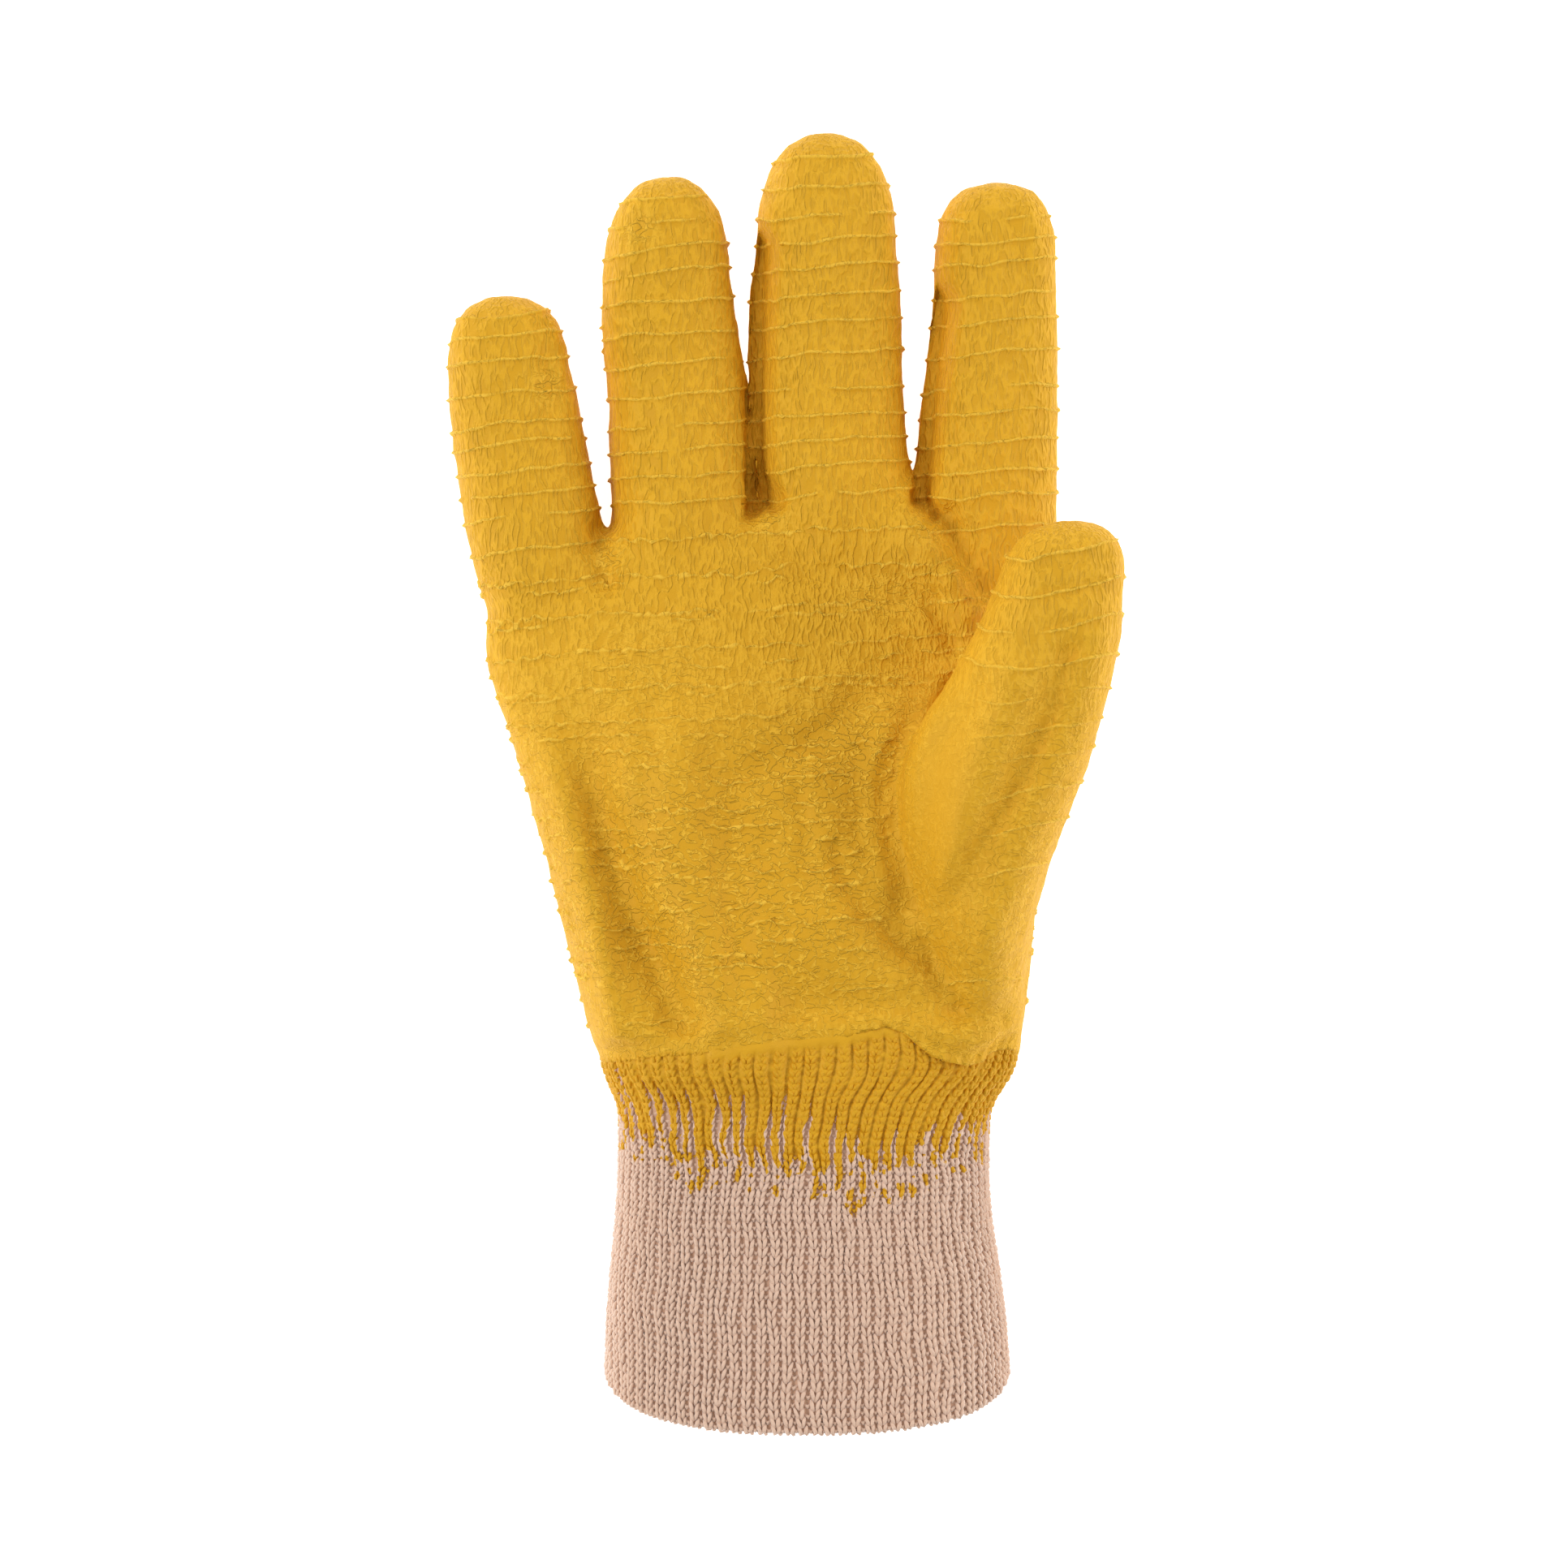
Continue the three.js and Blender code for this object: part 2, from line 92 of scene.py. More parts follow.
# Dents and swells of the palm side, each a stroke along a path of x, y. Width is the distance at which
# it has faded to about a third, rise is below zero for a dent, and taper is the length over which it
# grows from the path's start. A hard one has a steep edge, and one that is "beyond" its path lies only
# on the side of it towards the thumb.
FORMS = (
    {"part": "heel, outer swell", "width": 3.4, "rise": 2.8, "taper": 22,
     "path": ((-49, 14), (-45.5, -2), (-42.5, -11), (-40, -22), (-37, -36), (-35, -50))},
    {"part": "heel, long dent's lower end", "width": 6.2, "rise": -2.0, "taper": 14,
     "path": ((-30, -22), (-24.5, -38), (-21, -47))},
    {"part": "heel, long dent", "width": 4.4, "rise": -2.3, "taper": 26,
     "path": ((-42.5, 16), (-37.5, -6), (-32.5, -21), (-25.5, -37), (-20.5, -50))},
    {"part": "heel, inner swell", "width": 4.4, "rise": 1.2,
     "path": ((-20, 10), (-19.5, -10), (-17.5, -25), (-12.5, -50))},
    {"part": "heel, short dent", "width": 2.2, "rise": -0.7,
     "path": ((-27.5, 14), (-28.5, -10))},
    {"part": "heel, middle dent", "width": 2.4, "rise": -0.3,
     "path": ((-10.5, 0), (-10, -45))},
    {"part": "heel, middle swell", "width": 3.0, "rise": 1.1,
     "path": ((-5, -20), (-4.5, -48))},
    {"part": "hollow above the wrist", "width": 6.8, "rise": -4.2,
     "path": ((4, -46), (26, -46.5))},
    {"part": "rim of the cup", "width": 3.4, "rise": -0.85, "taper": 10,
     "path": ((-12, -1), (-7, 2.5), (1, 5), (9, 11), (15, 17))},
    {"part": "fold in the cup", "width": 2.3, "rise": -0.9,
     "path": ((3, -3), (4.5, -12), (3.5, -24))},
    {"part": "fold under the cup", "width": 2.2, "rise": -1.3,
     "path": ((10, -14), (13, -22), (17, -27), (25, -34))},
    {"part": "palm beside the thumb", "width": 2.6, "rise": 1.6, "taper": 14,
     "path": ((24.5, 20), (18, 3), (18, -10), (20.5, -21))},
    {"part": "rise along the thumb's groove", "width": 1.8, "rise": 0.7,
     "path": ((31, 19), (26.5, 9.5), (21.3, 1.5), (21.3, -6), (23.2, -17), (27, -30))},
    {"part": "flank of the thumb", "width": 4.4, "rise": -3.6,
     "path": ((36, 18), (30, 4), (28, -8), (28.5, -24))},
    {"part": "ridge of the thumb", "width": 3.6, "rise": 1.4,
     "path": ((46, 22), (40, 4), (35, -8), (30, -26))},
    {"part": "thumb between ridge and valley", "width": 2.6, "rise": 0.9,
     "path": ((52, 24), (45, 8), (42, 0), (36.5, -12))},
    {"part": "outer half of the thumb", "width": 5.5, "rise": 2.1,
     "path": ((62, 30), (57, 10), (49, -8), (44, -30))},
    {"part": "crease under the index finger", "width": 3.6, "rise": -0.8,
     "path": ((2, 50), (5, 44), (12, 40.5), (26, 38.5))},
    {"part": "fold at the index finger's root", "width": 2.6, "rise": 3.0, "taper": 7,
     "path": ((32, 46.5), (39, 36))},
    {"part": "dent beside that fold, upper", "width": 2.8, "rise": -3.4,
     "path": ((32.5, 54), (38.8, 38))},
    {"part": "dent beside that fold, lower", "width": 2.5, "rise": -2.2,
     "path": ((30.5, 36.5), (34.5, 27.5))},
    {"part": "dent under the little finger", "width": 2.7, "rise": -2.4,
     "path": ((-38.5, 52), (-36.5, 41))},
    {"part": "valley of the thumb", "width": 2.4, "rise": -1.2,
     "path": ((57, 27), (50.5, 8), (46, -1), (39.5, -12), (34, -22), (29.5, -33))},
    {"part": "wrinkle of the thumb, first", "width": 1.8, "rise": -0.7,
     "path": ((52, 43.5), (64, 45))},
    {"part": "wrinkle of the thumb, second", "width": 1.8, "rise": -0.7,
     "path": ((52, 37.5), (65, 39.5))},
    {"part": "wrinkle of the thumb, third", "width": 1.8, "rise": -0.7,
     "path": ((53, 31), (65, 32.5))},
    {"part": "wrinkle of the thumb, fourth", "width": 1.6, "rise": -0.6,
     "path": ((52, 25), (60, 27))},
    {"part": "ball over the wrist", "width": 5.2, "rise": 2.8,
     "path": ((40.5, -28), (42, -41))},
    {"part": "dent left of the ball", "width": 3.0, "rise": -2.0,
     "path": ((30.5, -37), (34.5, -45))},
    {"part": "dent under the ball", "width": 2.4, "rise": -1.6,
     "path": ((35, -46.5), (44, -47.5))},
    {"part": "dent under the ring finger's tip", "width": 2.0, "rise": -0.8,
     "path": ((-32, 113.5), (-24, 112))},
    {"part": "crest of the ring finger's tip", "width": 1.8, "rise": 0.4,
     "path": ((-32, 117.5), (-22, 118))},
    {"part": "dent left of the middle finger's tip", "width": 1.9, "rise": -0.8,
     "path": ((-6, 121), (-2, 126))},
    {"part": "ridge of the index finger's tip", "width": 2.0, "rise": 0.8,
     "path": ((50.3, 117), (51.5, 106))},
    {"part": "dent left of that ridge", "width": 2.4, "rise": -0.6,
     "path": ((46, 114), (47.5, 104))},
    {"part": "dent of the little finger", "width": 2.0, "rise": -0.7,
     "path": ((-48.5, 88), (-47.5, 76))},
    {"part": "crest of the little finger's tip", "width": 1.8, "rise": 0.4,
     "path": ((-60, 93.5), (-52, 94))},
    {"part": "side crease of the ring finger", "width": 1.2, "rise": -0.5,
     "path": ((-29.3, 114), (-27.6, 60))},
    {"part": "side crease of the middle finger", "width": 1.2, "rise": -0.5,
     "path": ((0.6, 108), (1.4, 58))},
    {"part": "side face of the middle finger", "width": 4.3, "rise": -8.0, "hard": True, "beyond": True,
     "path": ((-6.2, 108), (-7.9, 76), (-7.9, 58))},
    {"part": "pit beside the middle finger", "width": 2.4, "rise": -5.0, "hard": True,
     "path": ((-5, 61), (-2.2, 57.5))},
    {"part": "side face of the index finger", "width": 4.2, "rise": -7.0, "hard": True, "beyond": True,
     "path": ((30.6, 97), (28.4, 80), (26.3, 60))},
    {"part": "pit beside the index finger", "width": 2.0, "rise": -4.0, "hard": True,
     "path": ((27.5, 58.5), (29.6, 55))},
    {"part": "step of the index finger's side face", "width": 1.6, "rise": -0.8,
     "path": ((33.6, 78), (35.2, 52))},
)
FORM_FACING = (0.0, 0.4)  # they fade in between these upward parts of the surface's normal
# They leave the sides below these heights alone, and a dent takes off only a share of what is above.
SIDE_HEIGHT = {"fingers": 12.0, "palm": 6.0, "share": 0.8}
FINGERS_FROM = 40.0  # y above which the fingers' height holds

# Zones of the crinkle.
PALM, LITTLE, RING, MIDDLE, INDEX, THUMB = range(6)
# The first three fingers lie above the y of their roots and between two x.
FINGER_ZONES = ((LITTLE, 44.5, -100.0, -36.5), (RING, 54.2, -37.0, -7.9), (MIDDLE, 54.2, -7.9, 26.4))
# The index finger lies to the right of this x, above a root that slants down towards the thumb.
INDEX_ZONE = {"left": 26.4, "root": 54.2, "slant": 1.2, "lowest": 40.0, "highest": 30.5}
# The thumb lies on top of the palm, above a height that climbs a little towards its tip.
THUMB_ZONE = {"left": 22.0, "from": -38.0, "height": 28.0, "climb": 0.04, "until": 60.0}

# Raised lines of the crinkle, read off the photo from tip to root. tilt is how fast a line climbs
# towards the thumb's side, and centre the x where a line lies at its stated y. height is its rise, kept
# the share of its length that is seen, and kept_low that share at the lower end of the palm.
RAISED_LINES = (
    {"zone": PALM, "tilt": 0.05, "centre": 0.0, "height": 0.44, "kept": 0.95, "kept_low": 0.34,
     "at": (50.6, 43.4, 35.6, 28.0, 20.6, 14.0, 7.2, 0.8,
            -4.6, -11.7, -18.0, -24.6, -31.9, -37.0, -42.0, -47.2),
     "faint": (41.2, 33.9, 24.6, 18.9, 11.0, 4.4, -8.0, -15.0, -21.5, -28.2, -34.4)},
    {"zone": LITTLE, "tilt": 0.1, "centre": -54.0, "height": 0.54, "kept": 0.95,
     "at": (95.3, 91.1, 86.2, 79.4, 72.9, 69.0, 63.8, 59.0, 54.1, 47.3)},
    {"zone": RING, "tilt": 0.08, "centre": -22.0, "height": 0.54, "kept": 0.95,
     "at": (119.1, 114.2, 108.6, 103.7, 97.9, 91.3, 85.5, 79.3, 73.0, 67.9, 62.5, 57.3)},
    {"zone": MIDDLE, "tilt": 0.07, "centre": 9.0, "height": 0.54, "kept": 0.95,
     "at": (127.1, 121.3, 115.4, 110.5, 105.1, 99.4, 93.8, 87.5, 80.4, 74.7, 69.5, 64.4, 58.5)},
    {"zone": INDEX, "tilt": 0.07, "centre": 43.0, "height": 0.54, "kept": 0.95,
     "at": (114.9, 110.3, 105.9, 99.3, 94.0, 87.2, 80.3, 75.3, 69.3, 63.5, 58.8, 51.9, 43.4)},
    {"zone": THUMB, "tilt": 0.0, "centre": 48.5, "height": 0.58, "kept": 0.9,
     "at": (45.2, 37.5, 29.9, 22.7, 16.0, 8.4, 2.5, -4.0, -11.0, -19.0)},
)
FAINT_SHARE = 0.42  # how much of a palm's faint line is seen
PALM_FADE = (-15.0, 35.0)  # y between which the share kept at the palm's lower end gives way to kept
LINE_DRIFT = ((0.32, 10, 11), (0.12, 2.4, 12))  # how lines wander: height, size and seed of waves
PALM_DRIFT = ((0.3, 1.4, 13),)  # how the palm's wander besides
LINE_GAPS = ((0.6, 7, 21),)  # waves that say where a line breaks off
LINE_UNEVEN = {"palm": 0.35, "fingers": 0.2, "size": 1.0, "seed": 31}  # how its height varies
LINE_CLEAR = (3.0, 8.0)  # lines end between these heights above the coat's edge
LEAST_LINE = 0.04  # a line lower than this isn't cut into the mesh
# The colour of a line is a painted highlight on it.
WHOLE_LINE = 0.4  # a line that rises this far gets the full colour of one
# A thumb's line climbs to both sides of its lowest point, which lies further in, by lean, at the root.
THUMB_SMILE = {"climb": 0.22, "soft": 3.0, "lean": 12.0, "lean_from": (5, 25)}
# Its lines are seen above these y, and lower down only on the outer half, a little weaker.
THUMB_LINES = {"above": (19, 26), "outer": (33, 45), "share": 0.8}

# The material takes from these marks the bump of the wrinkles and their painted highlight and shade.
# Marks of the coat's fine wrinkles for its material. Fingers have streaks along them and the palm a
# net of ridges: the share of streaks climbs from its least between these y.
STREAKS = {"least": 0.25, "from": (4, 40)}
CRINKLE = {"even": 0.72, "tangled": 0.5}  # depth of the wrinkles, and what a tangle adds
# The thumb's flank is smoother: the middle and the half sizes of that place, its heights, and how much.
FLANK = {"x": 31, "y": -2, "across": 8, "along": 22, "heights": (24, 34), "less": 0.5}
# Small knots of wrinkles: x, y.
TANGLES = ((-3, 53.5), (29, 52), (-36, 46), (-48.3, 81), (-29.5, 112.5), (-5.5, 121.5))
TANGLE_AREA = 14.0  # square of the distance at which a knot has faded to about a third
# Where the palm's net of fine ridges is stronger: x, y, half its size across and along, and how much.
CRINKLE_NETS = (
    (22, 38, 12, 5, 0.6),
    (8, 5, 15, 8, 0.5),
    (-28, 26, 14, 10, 0.3),
    (-12, -22, 34, 26, 0.3),
    (18, 14, 12, 14, 0.2),
)
NET_HEIGHTS = (14, 24)  # heights between which these nets fade in from the sides
BARE = -9.0  # mark of a place that no latex has reached

# Sections of the cuff, top to hem, as the solid has them: outline, height of the flat underside,
# and how much further down the upper side reaches than the edges.
CUFF = {
    "y": (-120.0, -106.0, -84.0, -65.0, -57.3, -44.0),
    "left": (-36.8, -36.3, -34.2, -33.9, -35.2, -36.0),
    "right": (46.0, 44.9, 41.6, 41.9, 44.6, 45.0),
    "low": (-4.0, -4.0, -4.0, -4.0, -4.0, -4.0),
    "high": (38.5, 37.5, 36.0, 36.6, 37.0, 36.4),
    "floor": (0.0, 0.0, 1.4, 1.4, 3.4, 3.4),
    "bow": (12.0, 7.0, 1.0, 0.0, 0.0, 0.0),
}
UNDER_BOW = 0.35  # share of that bow on the underside
CUFF_MIDDLE = 4.0  # x of the cuff's middle
SQUARE = 2.4  # 2 is an ellipse, and more is a rounder box
KNIT_TOP = -42.0  # y of the first course, inside the hand
KNIT_HEM = -120.0  # y of the last course, before the bow
KNIT_LENGTH = KNIT_TOP - KNIT_HEM
CORE_DEPTH = 0.45  # from the tops of the stitches to the middle of the yarn
HEM_TURN = 0.9  # radius at which the knit folds over at the hem
BEND_EASE = 5.0  # length over which a bend of the cuff is eased
SWELL = {"rise": 2.5, "from": -68.0, "to": -56.5}  # the ribs swell out to meet the coat between these y
SIDE_SWELL = 0.6  # more of it at the thumb's side
TOP_DROP = 3.0  # less of it on the palm side, in the hollow above the wrist
DROP_FROM = (-6.0, 4.0)  # x between which that drop begins
RIB_STEPS = 8  # columns of the cuff's surface to a rib
SHEET_STEPS = 6  # columns of the sheets behind and over the stitches to a rib
RIB_PITCH = 2.5  # millimetres from rib to rib, for the patterns
RIB_CROWN = (0.26, 0.52)  # a rib's top ends, and the valley begins, this far from its middle, in ribs
# The ribs stray: how far they fan out at the top, and how far some lean near the hem, in ribs, each
# with the lengths down the cuff between which it goes or comes, and fine waves besides.
FAN = {"ribs": 1.9, "until": (9, 37)}
LEAN = {"ribs": -1.2, "from": (55, 79), "at": 14, "width": 6}
STRAY = {"all": ((0.08, 7, 51),), "each": ((0.055, 3.2, 52),)}
STRAY_PITCH = {"all": 0.8, "each": 37.0}  # from rib to rib in those waves: close by, or each on its own
COAT_LAP = 2.8  # how far the latex on the ribs runs up under the coat
STITCH_LAP = 2.6  # how far the stitches do
STITCH_FROM = 2  # the first course that has stitches
COURSES_INSIDE = 9  # courses that go on past the hem, up the inside
HALF_HEIGHT = 17.0  # stitches of ribs higher than this belong to the palm side's piece
HALF_AT = 65.0  # length down the cuff at which that height is read, at the most
# A leg of a V-shaped stitch, ring by ring along its yarn: where it starts beside the rib's middle and
# how far it runs in, in ribs, where it starts down the cuff and how far it runs, in courses, how far out
# it lies, and the share of the yarn's radius.
LEG = {"rings": (0.0, 0.33, 0.67, 1.0), "across": 0.31, "in": 0.245, "down": -0.5, "long": 1.3,
       "out": (-0.3, 0.1, 0.2, -0.12), "radius": (0.62, 1.0, 0.98, 0.62)}
# How far one leg strays from the next: across and at its ends, in ribs, down and out, and in thickness.
LEG_STRAY = {"across": 0.022, "turn": 0.05, "down": 0.09, "out": 0.05, "radius": 0.06}
# The purl bump between two ribs: half its breadth in ribs, its sag in courses, and the same besides.
PURL = {"rings": (-1.0, 0.0, 1.0), "across": 0.23, "sag": 0.35, "stray": 0.07,
        "out": (-0.45, -0.15, -0.45), "radius": (0.75, 0.95, 0.75)}
COATED_PURL = 0.4  # the purl bumps lie this much deeper where the latex fills the valleys
COATED_FROM = 0.4  # a stitch this far inside the latex counts as coated
GROUND_FROM = 5.5  # the fabric behind the stitches starts this far down the cuff
# Its rows lie this far apart outside, round the hem, which is between these lengths down, and inside.
GROUND_ROWS = (1.6, 0.6, 2.5)
HEM_SPAN = (KNIT_LENGTH - 1, KNIT_LENGTH + 6)
GROUND_OUT = {"valley": -0.52, "rib": 0.34}  # how far out it lies in a valley, and how much more on a rib
GROUND_BARE = 0.3  # latex reaches this much less far on it than on the stitches
GROUND_SUNK = {"depth": 3.5, "between": (1.2, 3.6)}  # it sinks under the coat, between these heights

# How far the latex ran down over the ribs on the palm side, by x: along a rib, and in a valley.
RUN_X = (-36, -28, -20, -10, 0, 12, 20, 28, 38)
RIB_RUN = (-69.5, -72, -74, -75, -76, -78.5, -78, -75, -71)
VALLEY_RUN = (-60, -60.5, -62.5, -63.5, -65, -68.5, -70.5, -69.5, -66)
RUN_BELOW = (-67.0, -63.0)  # the same two on the back of the hand
RUN_TURN = (12, 26)  # heights between which the back's give way to the palm side's
RUN_READ = 30.0  # length down the cuff at which a rib's x and height are read
RUN_UNEVEN = {"rib": 1.5, "valley": 1.6}  # how much the ends differ from one rib or valley to the next
FILLED = {"share": 0.3, "by": (0.5, 3)}  # this share of the valleys is filled nearly as far as the rib
# Flecks of latex below the ragged end: how many to a rib, how far they stray from its middle, in ribs,
# how far above its end they start and below that they reach, how much they crowd near it, their breadth
# in ribs and their height, and within how many ribs and millimetres one shows.
FLECKS = {"count": (4, 11), "stray": 0.2, "above": 2.5, "reach": 9.5, "crowd": 1.3, "small": (0.4, 1.0),
          "breadth": 0.3, "height": (0.3, 1.5), "inside": 0.6, "near": (0.6, 4.0)}
RUN_SLOPE = (0.16, 0.4)  # the end passes from the rib's to the valley's this far from its middle, in ribs
RUN_WANDER = ((0.05, 0.8, 64),)  # that distance wanders: height, size and seed of waves
RUN_RAGGED = ((0.35, 0.9, 62), (0.3, 2.2, 63))  # its ragged line: height, size and seed of waves
RUN_LENGTH = 44.0  # length down the cuff of the sheet that the latex is cut from
RUN_ROWS = 0.5  # its rows lie this far apart
# How far out the latex lies: in a valley, more on a rib and over the stitches, and less near its end.
RUN_OUT = {"valley": -0.38, "rib": 0.66, "stitch": 0.1, "thinner": 0.35, "thin": (0, 3)}
RUN_STITCH = {"slant": 1.3, "fade": (0.25, 0.45)}  # the stitches slant, and fade from a rib's middle
RUN_LUMPS = ((0.09, 1.1, 65),)  # height, size and seed of the waves on it
RUN_SMOOTH = (0.5, 2.4)  # below the coat's flush edge the latex fills the valleys over this length

# The camera looks straight down from this distance above the plane at which the frame is measured.
VIEW_DISTANCE = 2.2
VIEW_PLANE = 0.02
FRAME_WIDTH = 1932 * 0.1654 * MM
CENTRE_X = -0.165 * MM
CENTRE_Y = -0.33 * MM
SENSOR_WIDTH = 36.0
FLOOR_SIZE = 6.0
PAPER_GLOW = 0.9  # the paper shines a little itself, so that it stays as even as the photo's ground
SKY_LIGHT = 0.5
# Soft lights that point at the glove: name, place, side of the square in metres, and power.
SOFTBOXES = (
    ("left_softbox", (-1.5, 0.05, 1.15), 0.9, 17.5),
    ("right_softbox", (1.7, 0.1, 0.75), 0.9, 14.0),
    ("top_softbox", (0.1, 1.7, 0.8), 0.9, 6.0),
)


class GloveSizes(bpy.types.PropertyGroup):
    """Sizes that the coat and the knit are made to."""

    line_width: FloatProperty(
        name="Raised line width", description="Breadth of a raised line of the crinkle at its foot",
        default=0.9 * MM, unit="LENGTH")
    skin_cell: FloatProperty(
        name="Coat mesh size", description="Mesh size of the coat between its raised lines",
        default=0.92 * MM, unit="LENGTH")
    ribs: IntProperty(name="Ribs", description="Ribs round the cuff", default=74)
    courses: IntProperty(
        name="Courses", description="Rows of stitches from the hand to the hem", default=56)
    yarn: FloatProperty(
        name="Yarn diameter", description="Diameter of the cotton yarn in a stitch",
        default=0.9 * MM, unit="LENGTH")
    latex_skin: FloatProperty(
        name="Latex on the ribs", description="Thickness of the latex that ran down over the ribs",
        default=0.5 * MM, unit="LENGTH")


def linear(hex_colour):
    """The linear RGBA of an sRGB hex colour."""
    parts = [int(hex_colour[i:i + 2], 16) / 255 for i in (1, 3, 5)]
    return tuple(c / 12.92 if c <= 0.04045 else ((c + 0.055) / 1.055) ** 2.4 for c in parts) + (1.0,)


class GloveColours(bpy.types.PropertyGroup):
    """Colours of the finishes."""

    latex: FloatVectorProperty(
        name="Latex", description="Yellow of the coat where it is stretched smooth",
        default=linear("#E5AC1E"), size=4, subtype="COLOR")
    # Besides darker random patches of latex, this colour is painted shade between the ridges of the
    # coat's wrinkles.
    latex_darker_tone_and_painted_shade: FloatVectorProperty(
        name="Latex in the creases", description="Yellow in the bottoms of the crinkle",
        default=linear("#B98408"), size=4, subtype="COLOR")
    # Painted highlight: this colour lightens the tops of the raised lines and of the fine ridges.
    latex_painted_highlight: FloatVectorProperty(
        name="Latex on the raised lines", description="Yellow on the lines, where the latex is thick",
        default=linear("#FAC840"), size=4, subtype="COLOR")
    cotton: FloatVectorProperty(
        name="Cotton", description="Undyed cotton yarn of the cuff",
        default=linear("#EBCAB3"), size=4, subtype="COLOR")
    cotton_worn: FloatVectorProperty(
        name="Cotton, darker", description="Undyed cotton yarn where its fibres lie closer",
        default=linear("#DDB99F"), size=4, subtype="COLOR")
    # Painted shade: both colours of the fabric between the ribs are darker because the valleys lie in
    # shade.
    cotton_in_painted_shade: FloatVectorProperty(
        name="Cotton between the ribs", description="The same yarn in the valleys, with rubber thread",
        default=linear("#DBB499"), size=4, subtype="COLOR")
    cotton_in_painted_shade_darker: FloatVectorProperty(
        name="Cotton between the ribs, darker", description="The darker tone of that yarn",
        default=linear("#CBA286"), size=4, subtype="COLOR")
    jersey: FloatVectorProperty(
        name="Jersey", description="Cotton of the liner", default=linear("#E6D6C4"),
        size=4, subtype="COLOR")
    jersey_deep: FloatVectorProperty(
        name="Jersey, darker", description="The darker tone of the liner", default=linear("#CDB8A2"),
        size=4, subtype="COLOR")
    backdrop: FloatVectorProperty(
        name="Backdrop", description="Pale studio floor", default=linear("#F7F7F7"),
        size=4, subtype="COLOR")


def colours():
    """The colours that are set in the scene."""
    return bpy.context.scene.glove_colours


def sizes():
    """The sizes in millimetres, and the counts."""
    held = bpy.context.scene.glove_sizes
    found = {key: getattr(held, key) / MM for key in ("line_width", "skin_cell", "yarn", "latex_skin")}
    return found | {"ribs": held.ribs, "courses": held.courses}


def ease(value, low, high):
    """0 at low and below, 1 at high and above, and a smooth climb between them."""
    t = np.clip((np.asarray(value, float) - low) / (high - low), 0, 1)
    return t * t * (3 - 2 * t)


def waves(points, size, seed, count=14):
    """A smooth random value at each point, mostly between -1 and 1, that changes over about that size."""
    rng = np.random.default_rng(seed)
    total = np.zeros(len(points))
    for _ in range(count):
        direction = rng.normal(size=points.shape[1])
        direction /= np.linalg.norm(direction)
        length = 2 * size * rng.uniform(0.7, 1.5)
        total += np.sin(points @ direction * (2 * math.pi / length) + rng.uniform(0, 2 * math.pi))
    return total / math.sqrt(count / 2)


def layered(points, layers):
    """Several sheets of waves added up, each given by its height, size and seed."""
    return sum(height * waves(points, size, seed) for height, size, seed in layers)


def normals_of(points, faces):
    """The unit normal at each vertex of a triangle mesh."""
    a, b, c = (points[faces[:, k]] for k in range(3))
    flat = np.cross(b - a, c - a)
    total = np.zeros_like(points)
    for k in range(3):
        np.add.at(total, faces[:, k], flat)
    return total / np.maximum(np.linalg.norm(total, axis=1, keepdims=True), 1e-12)


def arrays_of(mesh):
    """The vertices in millimetres and the triangles of a mesh."""
    mesh.calc_loop_triangles()
    points = np.zeros(len(mesh.vertices) * 3)
    mesh.vertices.foreach_get("co", points)
    faces = np.zeros(len(mesh.loop_triangles) * 3, np.int64)
    mesh.loop_triangles.foreach_get("vertices", faces)
    return points.reshape(-1, 3) / MM, faces.reshape(-1, 3)


def object_from(name, points, faces):
    """A new object whose mesh has these vertices, in millimetres, and faces."""
    mesh = bpy.data.meshes.new(name)
    mesh.from_pydata((points * MM).tolist(), [], faces.tolist())
    mesh.validate()
    made = bpy.data.objects.new(name, mesh)
    bpy.context.scene.collection.objects.link(made)
    mesh.shade_smooth()
    return made


def mark(thing, name, values):
    """Stores a number for each vertex, for the materials to read."""
    layer = thing.data.attributes.new(name, "FLOAT", "POINT")
    layer.data.foreach_set("value", np.asarray(values, np.float32))


def only(thing):
    """Makes one object the selected and active one."""
    bpy.ops.object.select_all(action="DESELECT")
    thing.select_set(True)
    bpy.context.view_layer.objects.active = thing


def finish_with(thing, kind, **settings):
    """Adds a modifier with these settings and applies it."""
    only(thing)
    modifier = thing.modifiers.new(kind.title(), kind)
    for key, value in settings.items():
        setattr(modifier, key, value)
    bpy.ops.object.modifier_apply(modifier=modifier.name)


